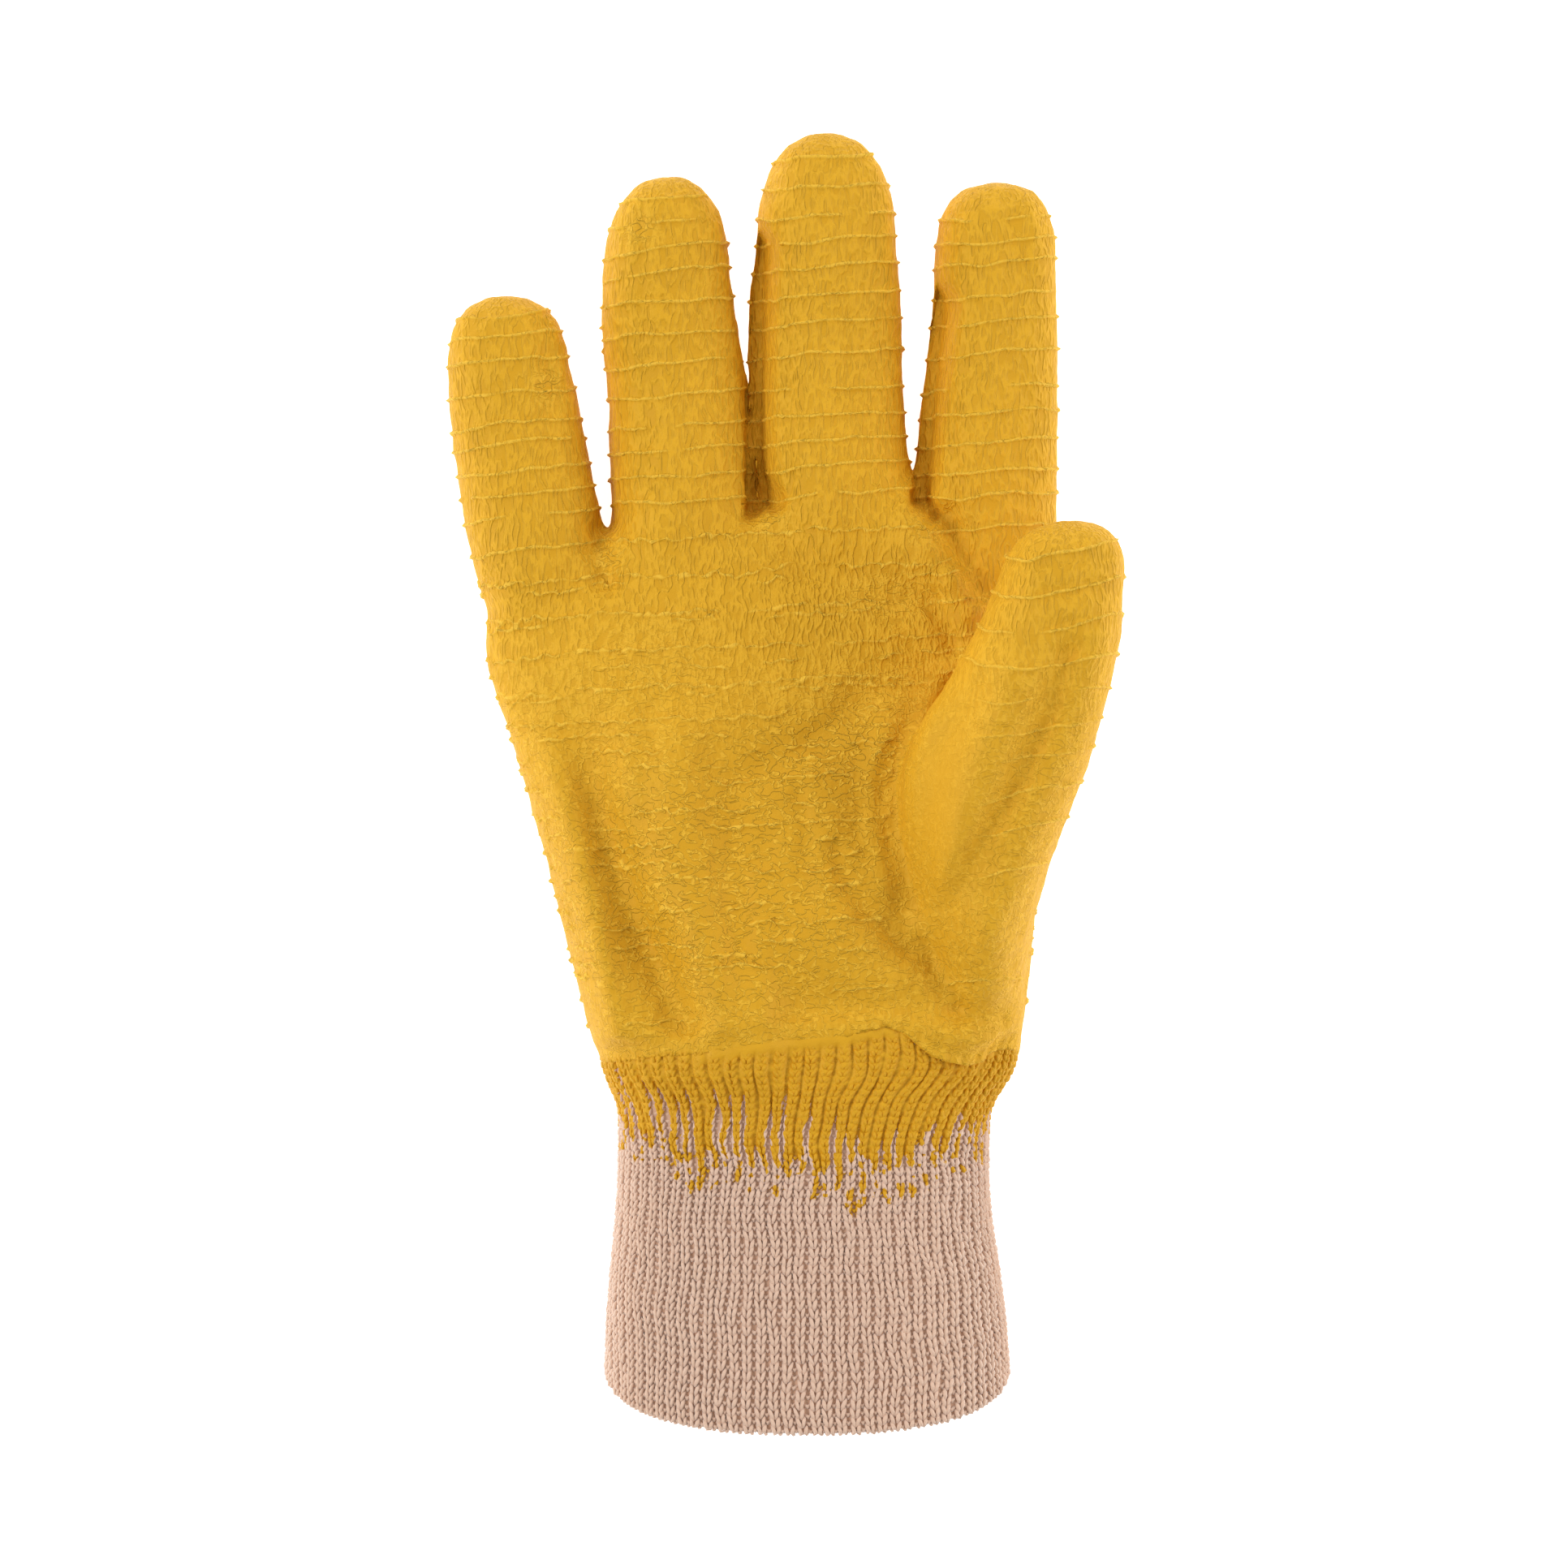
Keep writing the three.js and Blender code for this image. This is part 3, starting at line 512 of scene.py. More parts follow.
def split_where(points, faces, data, share):
    """Puts a vertex on every edge for which share gives a number from 0 to 1 rather than nan, at that
    share of its length, and divides the triangles there. data holds one row of values a vertex."""
    pairs = np.sort(faces[:, [[0, 1], [1, 2], [2, 0]]].reshape(-1, 2), axis=1)
    edges, place = np.unique(pairs[:, 0] * len(points) + pairs[:, 1], return_inverse=True)
    a, b = edges // len(points), edges % len(points)
    t = share(a, b)
    cut = ~np.isnan(t)
    new = np.full(len(edges), -1)
    new[cut] = len(points) + np.arange(cut.sum())
    t = t[cut, None]
    points = np.vstack([points, points[a[cut]] * (1 - t) + points[b[cut]] * t])
    data = np.vstack([data, data[a[cut]] * (1 - t) + data[b[cut]] * t])
    middle = new[place].reshape(-1, 3)
    cuts = (middle >= 0).sum(axis=1)
    made = [faces[cuts == 0]]

    def rolled(chosen, first):
        turn = (first[:, None] + np.arange(3)) % 3
        rows = np.arange(len(chosen))[:, None]
        return faces[chosen][rows, turn].T, middle[chosen][rows, turn].T

    one = np.flatnonzero(cuts == 1)
    (v0, v1, v2), (m0, _, _) = rolled(one, np.argmax(middle[one] >= 0, axis=1))
    made += [np.stack([v0, m0, v2], 1), np.stack([m0, v1, v2], 1)]
    two = np.flatnonzero(cuts == 2)
    (v0, v1, v2), (m0, _, m2) = rolled(two, (np.argmin(middle[two] >= 0, axis=1) + 2) % 3)
    made += [np.stack([v0, m0, m2], 1), np.stack([m0, v1, v2], 1), np.stack([m0, v2, m2], 1)]
    three = np.flatnonzero(cuts == 3)
    (v0, v1, v2), (m0, m1, m2) = faces[three].T, middle[three].T
    made += [np.stack(t3, 1) for t3 in ((v0, m0, m2), (m0, v1, m1), (m2, m1, v2), (m0, m1, m2))]
    return points, np.vstack(made), data


def crossing(value, level=0.0, allowed=None):
    """A share function for split_where: it cuts each edge where value passes the level."""
    def share(a, b):
        va, vb = value[a] - level, value[b] - level
        with np.errstate(divide="ignore", invalid="ignore"):
            t = va / (va - vb)
        cut = va * vb < 0
        if allowed is not None:
            cut &= allowed(a, b)
        return np.where(cut, t, np.nan)
    return share


def without_loose(points, faces, data):
    """The mesh without the vertices that no face uses."""
    used = np.unique(faces)
    place = np.full(len(points), -1)
    place[used] = np.arange(len(used))
    return points[used], place[faces], data[used]


def cut_at_zero(points, faces, value, snap):
    """The part of the mesh where value is above zero, cut along the line where it is zero."""
    value = np.where(np.abs(value) < snap, 0, value)
    points, faces, value = split_where(points, faces, value[:, None], crossing(value))
    faces = faces[value[faces, 0].min(axis=1) > -1e-9]
    points, faces, value = without_loose(points, faces, value)
    return points, faces, value[:, 0]


# The coated hand

def side_of_wall(start):
    """The faces that are reached from the start without turning over the rim at the wrist."""
    found, edge = {start}, [start]
    while edge:
        for e in edge.pop().edges:
            at_wrist = max(v.co.y for v in e.verts) < LINER_TOP * MM
            if at_wrist and e.calc_face_angle(0.0) > RIM_TURN:
                continue
            near = set(e.link_faces) - found
            found |= near
            edge += near
    return found


def draw_liner_in(shell):
    """Ends the jersey where the coat's edge meets it, and draws it in from the coat."""
    everything = shell.verts[:] + shell.edges[:] + shell.faces[:]
    bmesh.ops.bisect_plane(shell, geom=everything, dist=1e-6, plane_co=(0, LINER_TOP * MM, 0),
                           plane_no=(0, 1, 0), clear_inner=True)
    shell.normal_update()
    for v in shell.verts:
        v.co += v.normal * LINER_EASE * MM


def hand_shells():
    """The solid's outside and inside as two meshes, without the rim that joins them at the wrist."""
    work = bmesh.new()
    work.from_mesh(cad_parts["coated_hand"].data)
    bmesh.ops.remove_doubles(work, verts=work.verts, dist=1e-6)
    tip = max(work.faces, key=lambda f: f.calc_center_median().y)
    outer = side_of_wall(tip)
    rest = [f for f in work.faces if f not in outer]
    inner = side_of_wall(max(rest, key=lambda f: f.calc_center_median().y))
    meshes = []
    for name, kept in (("hand_outside", outer), ("hand_inside", inner)):
        places = {f.index for f in kept}
        shell = work.copy()
        bmesh.ops.delete(shell, geom=[f for f in shell.faces if f.index not in places], context="FACES")
        if kept is inner:
            draw_liner_in(shell)
        meshes.append(bpy.data.meshes.new(name))
        shell.to_mesh(meshes[-1])
        shell.free()
    work.free()
    return meshes


def smooth_hand(outside, cell):
    """The hand's outside with its facets smoothed away, run on past the wrist and closed there."""
    shell = bmesh.new()
    shell.from_mesh(outside)
    rim = [e for e in shell.edges if e.is_boundary]
    run_on = bmesh.ops.extrude_edge_only(shell, edges=rim)["geom"]
    for v in (g for g in run_on if isinstance(g, bmesh.types.BMVert)):
        v.co.y -= EDGE_SPARE * MM
    bmesh.ops.holes_fill(shell, edges=[e for e in shell.edges if e.is_boundary], sides=0)
    bmesh.ops.recalc_face_normals(shell, faces=shell.faces)
    shell.to_mesh(outside)
    shell.free()
    made = bpy.data.objects.new("crinkled_coat", outside)
    bpy.context.scene.collection.objects.link(made)
    finish_with(made, "DISPLACE", strength=-INSET * MM, mid_level=0.0)
    finish_with(made, "REMESH", mode="VOXEL", voxel_size=2 * cell * MM, adaptivity=0.0)
    finish_with(made, "SMOOTH", factor=0.5, iterations=9)
    finish_with(made, "DISPLACE", strength=(INSET + SHRINKAGE) * MM, mid_level=0.0)
    return made


def palm_side_refined(points, faces):
    """The mesh with its cells halved where it doesn't face down."""
    facing = normals_of(points, faces)[:, 2]

    def halves(a, b):
        return np.where((facing[a] > FACES_DOWN) & (facing[b] > FACES_DOWN), 0.5, np.nan)

    points, faces, _ = split_where(points, faces, facing[:, None], halves)
    return points, faces


def along_path(places, path):
    """How far each place lies from a path, on which side of it (above zero is on its left hand) and how
    far along it."""
    away, side, run = np.full(len(places), np.inf), np.zeros(len(places)), np.zeros(len(places))
    before = 0.0
    for start, end in zip(path[:-1], path[1:]):
        along = np.subtract(end, start)
        past = places - start
        share = np.clip(past @ along / (along @ along), 0, 1)
        far = np.linalg.norm(past - share[:, None] * along, axis=1)
        length = np.linalg.norm(along)
        turn = (along[0] * past[:, 1] - along[1] * past[:, 0]) / length
        side = np.where(far < away, turn, side)
        run = np.where(far < away, before + share * length, run)
        away = np.minimum(away, far)
        before += length
    return away, side, run


def formed(points, normals):
    """How far the dents and swells of the palm side lift each point."""
    rise = np.zeros(len(points))
    for row in FORMS:
        away, side, run = along_path(points[:, :2], row["path"])
        own = row["rise"] * np.exp(-(away / row["width"]) ** (4 if row.get("hard") else 2))
        if row.get("beyond"):
            own *= ease(side, -0.5, 0.1)
        if "taper" in row:
            own *= ease(run, 0, row["taper"])
        rise += own
    rise *= ease(normals[:, 2], *FORM_FACING)
    low = np.where(points[:, 1] > FINGERS_FROM, SIDE_HEIGHT["fingers"], SIDE_HEIGHT["palm"])
    return np.maximum(rise, -SIDE_HEIGHT["share"] * np.maximum(points[:, 2] - low, 0))


def nearest_of(points, wanted):
    """For each wanted place, which of the points lies nearest."""
    tree = KDTree(len(points))
    for i, p in enumerate(points):
        tree.insert(p, i)
    tree.balance()
    return np.array([tree.find(p)[1] for p in wanted])


def follow_forms(liner, points, rise):
    """Moves the jersey with the dents and swells of the coat over it."""
    own, faces = arrays_of(liner)
    for _ in range(2):
        lift = rise[nearest_of(points, own)]

        def halves(a, b):
            far = np.linalg.norm(own[a] - own[b], axis=1) > LINER_CELL
            return np.where(far & (np.abs(lift[a]) + np.abs(lift[b]) > LINER_MOVED), 0.5, np.nan)

        own, faces, _ = split_where(own, faces, lift[:, None], halves)
    own[:, 2] += rise[nearest_of(points, own)]
    liner.clear_geometry()
    liner.from_pydata((own * MM).tolist(), [], faces.tolist())


def edge_height(points):
    """How far each point lies above the hand's lower edge."""
    palm_side = np.interp(points[:, 0], EDGE_X, EDGE_Y)
    share = ease(points[:, 2], *EDGE_TURN)
    return points[:, 1] - (EDGE_BELOW * (1 - share) + palm_side * share)


def zones_of(points):
    """The zone of the crinkle that each point lies in."""
    x, y, z = points.T
    zone = np.full(len(points), PALM)
    for finger, root, left, right in FINGER_ZONES:
        zone[(y > root) & (x >= left) & (x < right)] = finger
    right = x - INDEX_ZONE["left"]
    above_root = (y > INDEX_ZONE["lowest"]) & (y > INDEX_ZONE["root"] - right * INDEX_ZONE["slant"])
    zone[(right >= 0) & above_root & (z < INDEX_ZONE["highest"])] = INDEX
    lowest = THUMB_ZONE["height"] + THUMB_ZONE["climb"] * np.clip(y, 0, THUMB_ZONE["until"])
    zone[(x > THUMB_ZONE["left"]) & (z > lowest) & (y > THUMB_ZONE["from"])] = THUMB
    return zone


def line_climb(row, x, y):
    """How far a line of this zone lies above its stated y at each place."""
    across = x - row["centre"]
    if row["zone"] != THUMB:
        return row["tilt"] * across
    across = across + THUMB_SMILE["lean"] * (1 - ease(y, *THUMB_SMILE["lean_from"]))
    return THUMB_SMILE["climb"] * (np.hypot(across, THUMB_SMILE["soft"]) - THUMB_SMILE["soft"])


def line_kept(row, faint, gaps, x, y):
    """1 where a line shows at its whole height, and 0 where it breaks off."""
    upper = ease(y, *PALM_FADE)
    share = row["kept"] * upper + row.get("kept_low", row["kept"]) * (1 - upper)
    share = np.where(faint, FAINT_SHARE, share)
    kept = ease(gaps + 1.6 * share - 0.8, -0.35, 0.1)
    if row["zone"] == THUMB:
        outer = THUMB_LINES["share"] * ease(x, *THUMB_LINES["outer"])
        kept *= np.maximum(ease(y, *THUMB_LINES["above"]), outer)
    return kept


def line_marks(points, normals):
    """For each vertex its zone, its nearest raised line, how far above that line it lies along the
    surface, and how much of the line's height it gets."""
    zone = zones_of(points)
    nearest = np.zeros(len(points))
    above = np.zeros(len(points))
    strength = np.zeros(len(points))
    on_palm = zone == PALM
    drift = layered(points, LINE_DRIFT) + on_palm * layered(points, PALM_DRIFT)
    for row in RAISED_LINES:
        mine = zone == row["zone"]
        x, y, z = points[mine].T
        faint_lines = row.get("faint", ())
        lines = np.array(sorted(row["at"] + faint_lines))
        along = y - line_climb(row, x, y) + drift[mine]
        k = np.argmin(np.abs(along[:, None] - lines[None, :]), axis=1)
        climbing = normals[mine] @ np.array([-row["tilt"], 1.0, 0.0])
        steep = np.sqrt(np.clip(1 - climbing ** 2, 0.16, 1))
        nearest[mine] = k
        above[mine] = (along - lines[k]) / steep
        # Each line gets a far place of its own, so that its gaps lie elsewhere than its neighbour's.
        far_place = 37.0 * k + 200 * row["zone"]
        gaps = layered(np.stack([x, z, far_place], 1), LINE_GAPS)
        kept = line_kept(row, np.isin(lines, faint_lines)[k], gaps, x, y)
        strength[mine] = row["height"] * kept
    uneven = np.where(on_palm, LINE_UNEVEN["palm"], LINE_UNEVEN["fingers"])
    strength *= 1 + uneven * waves(points, LINE_UNEVEN["size"], LINE_UNEVEN["seed"])
    strength *= ease(edge_height(points), *LINE_CLEAR)
    return zone, nearest, above, np.clip(strength, 0, None)


def raise_lines(points, faces, normals, half_width):
    """Cuts the mesh along the raised lines and along their feet, and lifts the lines. Also gives how
    far each vertex was lifted."""
    zone, nearest, above, strength = line_marks(points, normals)
    above = np.where(np.abs(above) < SNAP["line"], 0.0, above)
    data = np.column_stack([normals, zone, nearest, above, strength])

    def same_line(a, b):
        same = (data[a, 3] == data[b, 3]) & (data[a, 4] == data[b, 4])
        return same & (np.maximum(data[a, 6], data[b, 6]) > LEAST_LINE)

    points, faces, data = split_where(points, faces, data, crossing(data[:, 5], 0, same_line))
    distance = np.abs(data[:, 5])
    near_foot = np.abs(distance - half_width) < SNAP["foot"]
    distance = np.where(near_foot & (distance > 0), half_width, distance)
    data[:, 5] = distance
    points, faces, data = split_where(points, faces, data, crossing(distance, half_width, same_line))
    normals, distance, strength = data[:, :3], data[:, 5], data[:, 6]
    lift = strength * np.clip(1 - distance / half_width, 0, 1)
    return points + normals * lift[:, None], faces, lift


def flap_rise(x, height=0.0):
    """How far the fold of the coat's edge stands off the ribs."""
    return FLAP["rise"] * np.exp(-((x - FLAP["x"]) / FLAP["width"]) ** 2 - (height / FLAP["reach"]) ** 2)


def flush_share(x):
    """1 where the coat goes on smoothly over the ribs, and 0 to both sides of that."""
    return ease(x, *EDGE_FLUSH["from"]) * (1 - ease(x, *EDGE_FLUSH["to"]))


def laid_on_ribs(points, height, surface):
    """The coat's points near its edge, brought down onto the ribs that they cover."""
    rows = surface.y > EDGE_BELOW - RIBS_BELOW
    rows[len(surface.y) // 2:] = False
    place, normal = surface.points[rows].reshape(-1, 3), surface.normals[rows].reshape(-1, 3)
    near = np.flatnonzero(height < EDGE_REACH)
    under = nearest_of(place, points[near])
    place, normal = place[under], normal[under]
    column = (under % surface.columns) / RIB_STEPS
    rib = column - surface.sway(column, surface.down[rows][under // surface.columns])
    above = ((points[near] - place) * normal).sum(axis=1)
    x, z, h = points[near, 0], points[near, 2], height[near]
    on_palm_side = ease(z, *PALM_SIDE)
    raised = flap_rise(x, h) + EDGE_FLUSH["rise"] * flush_share(x)
    shown = ease(x, *RIBS_SHOW["from"]) * on_palm_side * (1 - ease(h, *RIBS_SHOW["reach"]))
    target = EDGE_SUNK + EDGE_SLOPE * h + raised * on_palm_side
    target += RIBS_SHOW["rise"] * shown * rib_shape(rib)
    share = 1 - ease(h, EDGE_LAID * EDGE_REACH, EDGE_REACH)
    moved = points.copy()
    moved[near] += normal * ((target - above) * share)[:, None]
    return moved


def close_at_wrist(outer, inside):
    """Turns the coat's edge in at the wrist and joins it to the jersey, which has the second material."""
    shell = bmesh.new()
    shell.from_mesh(outer.data)
    rim = [e for e in shell.edges if e.is_boundary]
    turned = bmesh.ops.extrude_edge_only(shell, edges=rim)["geom"]
    ring = [g for g in turned if isinstance(g, bmesh.types.BMVert)]
    middle = sum((v.co for v in ring), Vector()) / len(ring)
    for v in ring:
        inward = Vector((middle.x - v.co.x, 0, middle.z - v.co.z)).normalized()
        folded = flap_rise(v.co.x / MM) * ease(v.co.z / MM, *PALM_SIDE)
        v.co += inward * float(TURNED_IN[0] + folded) * MM
        v.co.y += TURNED_IN[1] * MM
    first_inside = len(shell.verts)
    shell.from_mesh(inside)
    shell.verts.ensure_lookup_table()
    before = set(shell.faces)
    bmesh.ops.bridge_loops(shell, edges=[e for e in shell.edges if e.is_boundary])
    for face in shell.faces:
        face.smooth = True
        if face not in before or all(v.index >= first_inside for v in face.verts):
            face.material_index = 1
    bmesh.ops.triangulate(shell, faces=[f for f in shell.faces if len(f.verts) > 3])
    shell.to_mesh(outer.data)
    shell.free()


def coat_hand(surface):
    """The finished coat: its outside, the edge turned in at the wrist, and the jersey inside."""
    size = sizes()
    outside, inside = hand_shells()
    smooth = smooth_hand(outside, size["skin_cell"])
    points, faces = arrays_of(smooth.data)
    bpy.data.objects.remove(smooth)
    points, faces = palm_side_refined(points, faces)
    rise = formed(points, normals_of(points, faces))
    follow_forms(inside, points, rise)
    points[:, 2] += rise
    points, faces, height = cut_at_zero(points, faces, edge_height(points), SNAP["edge"])
    normals = normals_of(points, faces)
    points = points + normals * layered(points, COAT_LUMPS)[:, None]
    points = laid_on_ribs(points, height, surface)
    points, faces, lift = raise_lines(points, faces, normals, size["line_width"] / 2)
    points[:, 2] = np.maximum(points[:, 2], FLOOR_CLEAR)
    made = object_from("crinkled_coat", points, faces)
    # The material paints a highlight on the raised lines from this mark.
    mark(made, "line", lift / WHOLE_LINE)
    close_at_wrist(made, inside)
    return made


def mark_wrinkles(coat):
    """Says where the coat's fine wrinkles are streaks or a net, and how deep they are."""
    points, _ = arrays_of(coat.data)
    x, y, z = points.T
    on_flank = ((x - FLANK["x"]) / FLANK["across"]) ** 2 + ((y - FLANK["y"]) / FLANK["along"]) ** 2
    flank = np.exp(-on_flank) * ease(z, *FLANK["heights"])
    tangles = sum(np.exp(-((x - a) ** 2 + (y - b) ** 2) / TANGLE_AREA) for a, b in TANGLES)
    nets = sum(more * np.exp(-(((x - a) / across) ** 2 + ((y - b) / along) ** 2) ** 2)
               for a, b, across, along, more in CRINKLE_NETS)
    tangled = tangles + nets * ease(z, *NET_HEIGHTS)
    least = STREAKS["least"]
    mark(coat, "streaks", np.clip(least + (1 - least) * ease(y, *STREAKS["from"]) - tangled, 0, 1))
    even = np.clip(CRINKLE["even"] - FLANK["less"] * flank, 0, 1)
    mark(coat, "crinkle", even + CRINKLE["tangled"] * tangled)
    mark(coat, "cover", np.full(len(points), BARE))


# The rib knit

def cuff_row(y):
    """The cuff's section at y, eased where the solid's sections bend."""
    spread = y + BEND_EASE * np.linspace(-1, 1, 9)
    return {key: float(np.mean(np.interp(spread, CUFF["y"], CUFF[key]))) for key in CUFF if key != "y"}


def cuff_ring(row, y, sides, inset):
    """Points at even steps round one section, inset from the tops of the stitches."""
    fine = 8 * sides
    angle = np.linspace(0, 2 * math.pi, fine + 1)
    unit = [np.sign(c) * np.abs(c) ** (2 / SQUARE) for c in (np.cos(angle), np.sin(angle))]
    x = (row["left"] + row["right"]) / 2 + ((row["right"] - row["left"]) / 2 - inset) * unit[0]
    z = (row["low"] + row["high"]) / 2 + ((row["high"] - row["low"]) / 2 - inset) * unit[1]
    z = np.maximum(z, row["floor"] + inset)
    run = np.concatenate([[0], np.cumsum(np.hypot(np.diff(x), np.diff(z)))])
    at = run[-1] * np.arange(sides) / sides
    x, z = np.interp(at, run, x), np.interp(at, run, z)
    middle = row["high"] / 2
    share = np.maximum(0, z - middle) / middle + UNDER_BOW * np.maximum(0, middle - z) / middle
    return np.stack([x, y - row["bow"] * share, z], axis=1)


class CuffSurface:
    """The surface that the stitches lie on: down the outside, round the hem and up the inside.
    A place on it is a rib number and a length down the cuff in millimetres."""

    def __init__(self, ribs):
        self.ribs = ribs
        self.columns = RIB_STEPS * ribs
        down = np.arange(KNIT_TOP, KNIT_HEM - 0.01, -1.0)
        turn = np.linspace(0, math.pi, 7)[1:]
        up = np.arange(KNIT_HEM + 1, KNIT_TOP + 0.01, 1.0)
        y = np.concatenate([down, KNIT_HEM - HEM_TURN * np.sin(turn), up])
        folded = np.concatenate([0 * down, HEM_TURN * (1 - np.cos(turn)), 0 * up + 2 * HEM_TURN])
        swell = ease(y, SWELL["from"], SWELL["to"])
        inset = folded + CORE_DEPTH - SWELL["rise"] * swell
        rows = []
        for v, i, more in zip(y, inset, SIDE_SWELL * swell):
            row = cuff_row(max(v, KNIT_HEM))
            row["right"] += more
            rows.append(cuff_ring(row, v, self.columns, i))
        self.points = np.array(rows)
        x, z = self.points[..., 0], self.points[..., 2]
        z -= TOP_DROP * swell[:, None] * ease(x, *DROP_FROM) * ease(z, *PALM_SIDE)
        steps = np.hypot(np.diff(y), np.diff(inset))
        self.down = np.concatenate([[0], np.cumsum(steps)])
        self.y = y
        across = np.roll(self.points, -1, 1) - np.roll(self.points, 1, 1)
        along = np.gradient(self.points, axis=0)
        normal = np.cross(across, along)
        self.normals = normal / np.linalg.norm(normal, axis=2, keepdims=True)
        if (self.normals[0, 0] @ np.array([1.0, 0, 0])) < 0:
            self.normals = -self.normals
        # The front rib has the highest place, and of several as high the one nearest the middle.
        height = z[0] - 0.001 * np.abs(x[0] - CUFF_MIDDLE)
        self.front = int(np.argmax(height)) / RIB_STEPS

    def sway(self, rib, down):
        """How far a rib strays from its straight line, in ribs."""
        place = np.stack([STRAY_PITCH["all"] * rib, down], axis=1)
        turn = np.sin(2 * math.pi * (rib - self.front) / self.ribs)
        fan = FAN["ribs"] * turn * (1 - ease(down, *FAN["until"]))
        beside = (rib - self.front - LEAN["at"]) / LEAN["width"]
        lean = LEAN["ribs"] * ease(down, *LEAN["from"]) * np.exp(-beside ** 2)
        own = np.stack([STRAY_PITCH["each"] * np.round(rib), down], axis=1)
        return layered(place, STRAY["all"]) + layered(own, STRAY["each"]) + fan + lean

    def y_at(self, down):
        """The y at these lengths down the cuff."""
        return np.interp(down, self.down, self.y)

    def at(self, rib, down, out):
        """The points at these places, out from the surface by so many millimetres."""
        rib, down, out = np.broadcast_arrays(np.asarray(rib, float), down, out)
        shape = rib.shape
        rib, down, out = rib.ravel(), down.ravel().astype(float), out.ravel()
        column = ((rib + self.sway(rib, down)) * RIB_STEPS) % self.columns
        row = np.interp(down, self.down, np.arange(len(self.down)))
        c0 = np.floor(column).astype(int) % self.columns
        r0 = np.minimum(np.floor(row).astype(int), len(self.down) - 2)
        fc, fr = (column - np.floor(column))[:, None], (row - r0)[:, None]
        c1 = (c0 + 1) % self.columns
        found = []
        for grid in (self.points, self.normals):
            top = grid[r0, c0] * (1 - fc) + grid[r0, c1] * fc
            low = grid[r0 + 1, c0] * (1 - fc) + grid[r0 + 1, c1] * fc
            found.append(top * (1 - fr) + low * fr)
        point, normal = found
        normal /= np.linalg.norm(normal, axis=1, keepdims=True)
        return (point + normal * out[:, None]).reshape(shape + (3,))


def yarn_pieces(surface, rib, down, out, radius, sides=5):
    """Short pieces of yarn. rib, down and out are tables with a row for each piece and a column for
    each ring along it, and radius has the rings' sizes. Returns vertices, triangles, and the rib and
    the length down the cuff at which each vertex lies."""
    middle = surface.at(rib, down, out)
    along = np.gradient(middle, axis=1)
    along /= np.linalg.norm(along, axis=2, keepdims=True)
    outward = surface.at(rib, down, out + 1.0) - middle
    outward -= (outward * along).sum(axis=2, keepdims=True) * along
    outward /= np.linalg.norm(outward, axis=2, keepdims=True)
    sideways = np.cross(along, outward)
    angle = 2 * math.pi * np.arange(sides) / sides
    offsets = [sideways * math.cos(a) + outward * math.sin(a) for a in angle]
    rings = middle[:, :, None, :] + np.stack(offsets, axis=2) * (radius + 0 * down)[:, :, None, None]
    pieces, count = rings.shape[:2]
    points = rings.reshape(-1, 3)
    step = surface.at(rib + 0.1, down, out) - middle
    width = 10 * np.linalg.norm(step, axis=2)
    aside = np.sign((step * sideways).sum(axis=2)) * radius / width
    rib_at = rib[:, :, None] + aside[:, :, None] * np.cos(angle)[None, None]
    places = np.stack([rib_at, down[:, :, None] + 0 * rib_at], axis=-1).reshape(-1, 2)
    faces = []
    for r in range(count - 1):
        for i in range(sides):
            j = (i + 1) % sides
            a, b, c, d = r * sides + i, r * sides + j, (r + 1) * sides + j, (r + 1) * sides + i
            faces += [(a, b, c), (a, c, d)]
    last = (count - 1) * sides
    for i in range(1, sides - 1):
        faces += [(0, i + 1, i), (last, last + i, last + i + 1)]
    faces = np.array(faces)
    one = points[faces[0]]
    across = np.cross(one[1] - one[0], one[2] - one[0])
    if across @ (one.mean(axis=0) - middle[0, 0]) < 0:
        faces = faces[:, ::-1]
    starts = np.arange(pieces)[:, None, None] * count * sides
    return points, (starts + faces[None]).reshape(-1, 3), places


def joined(parts):
    """Several groups of yarn pieces as one."""
    points, faces, places = zip(*parts)
    starts = np.cumsum([0] + [len(p) for p in points[:-1]])
    faces = np.vstack([f + start for f, start in zip(faces, starts)])
    return np.vstack(points), faces, np.vstack(places)


def run_ends(surface, rib):
    """The y at which the latex ends at each of these places round the cuff, on a rib and in a valley."""
    place = surface.at(rib, np.full(len(rib), RUN_READ), 0.0)
    share = ease(place[:, 2], *RUN_TURN)
    return [below * (1 - share) + np.interp(place[:, 0], RUN_X, run) * share
            for below, run in zip(RUN_BELOW, (RIB_RUN, VALLEY_RUN))]


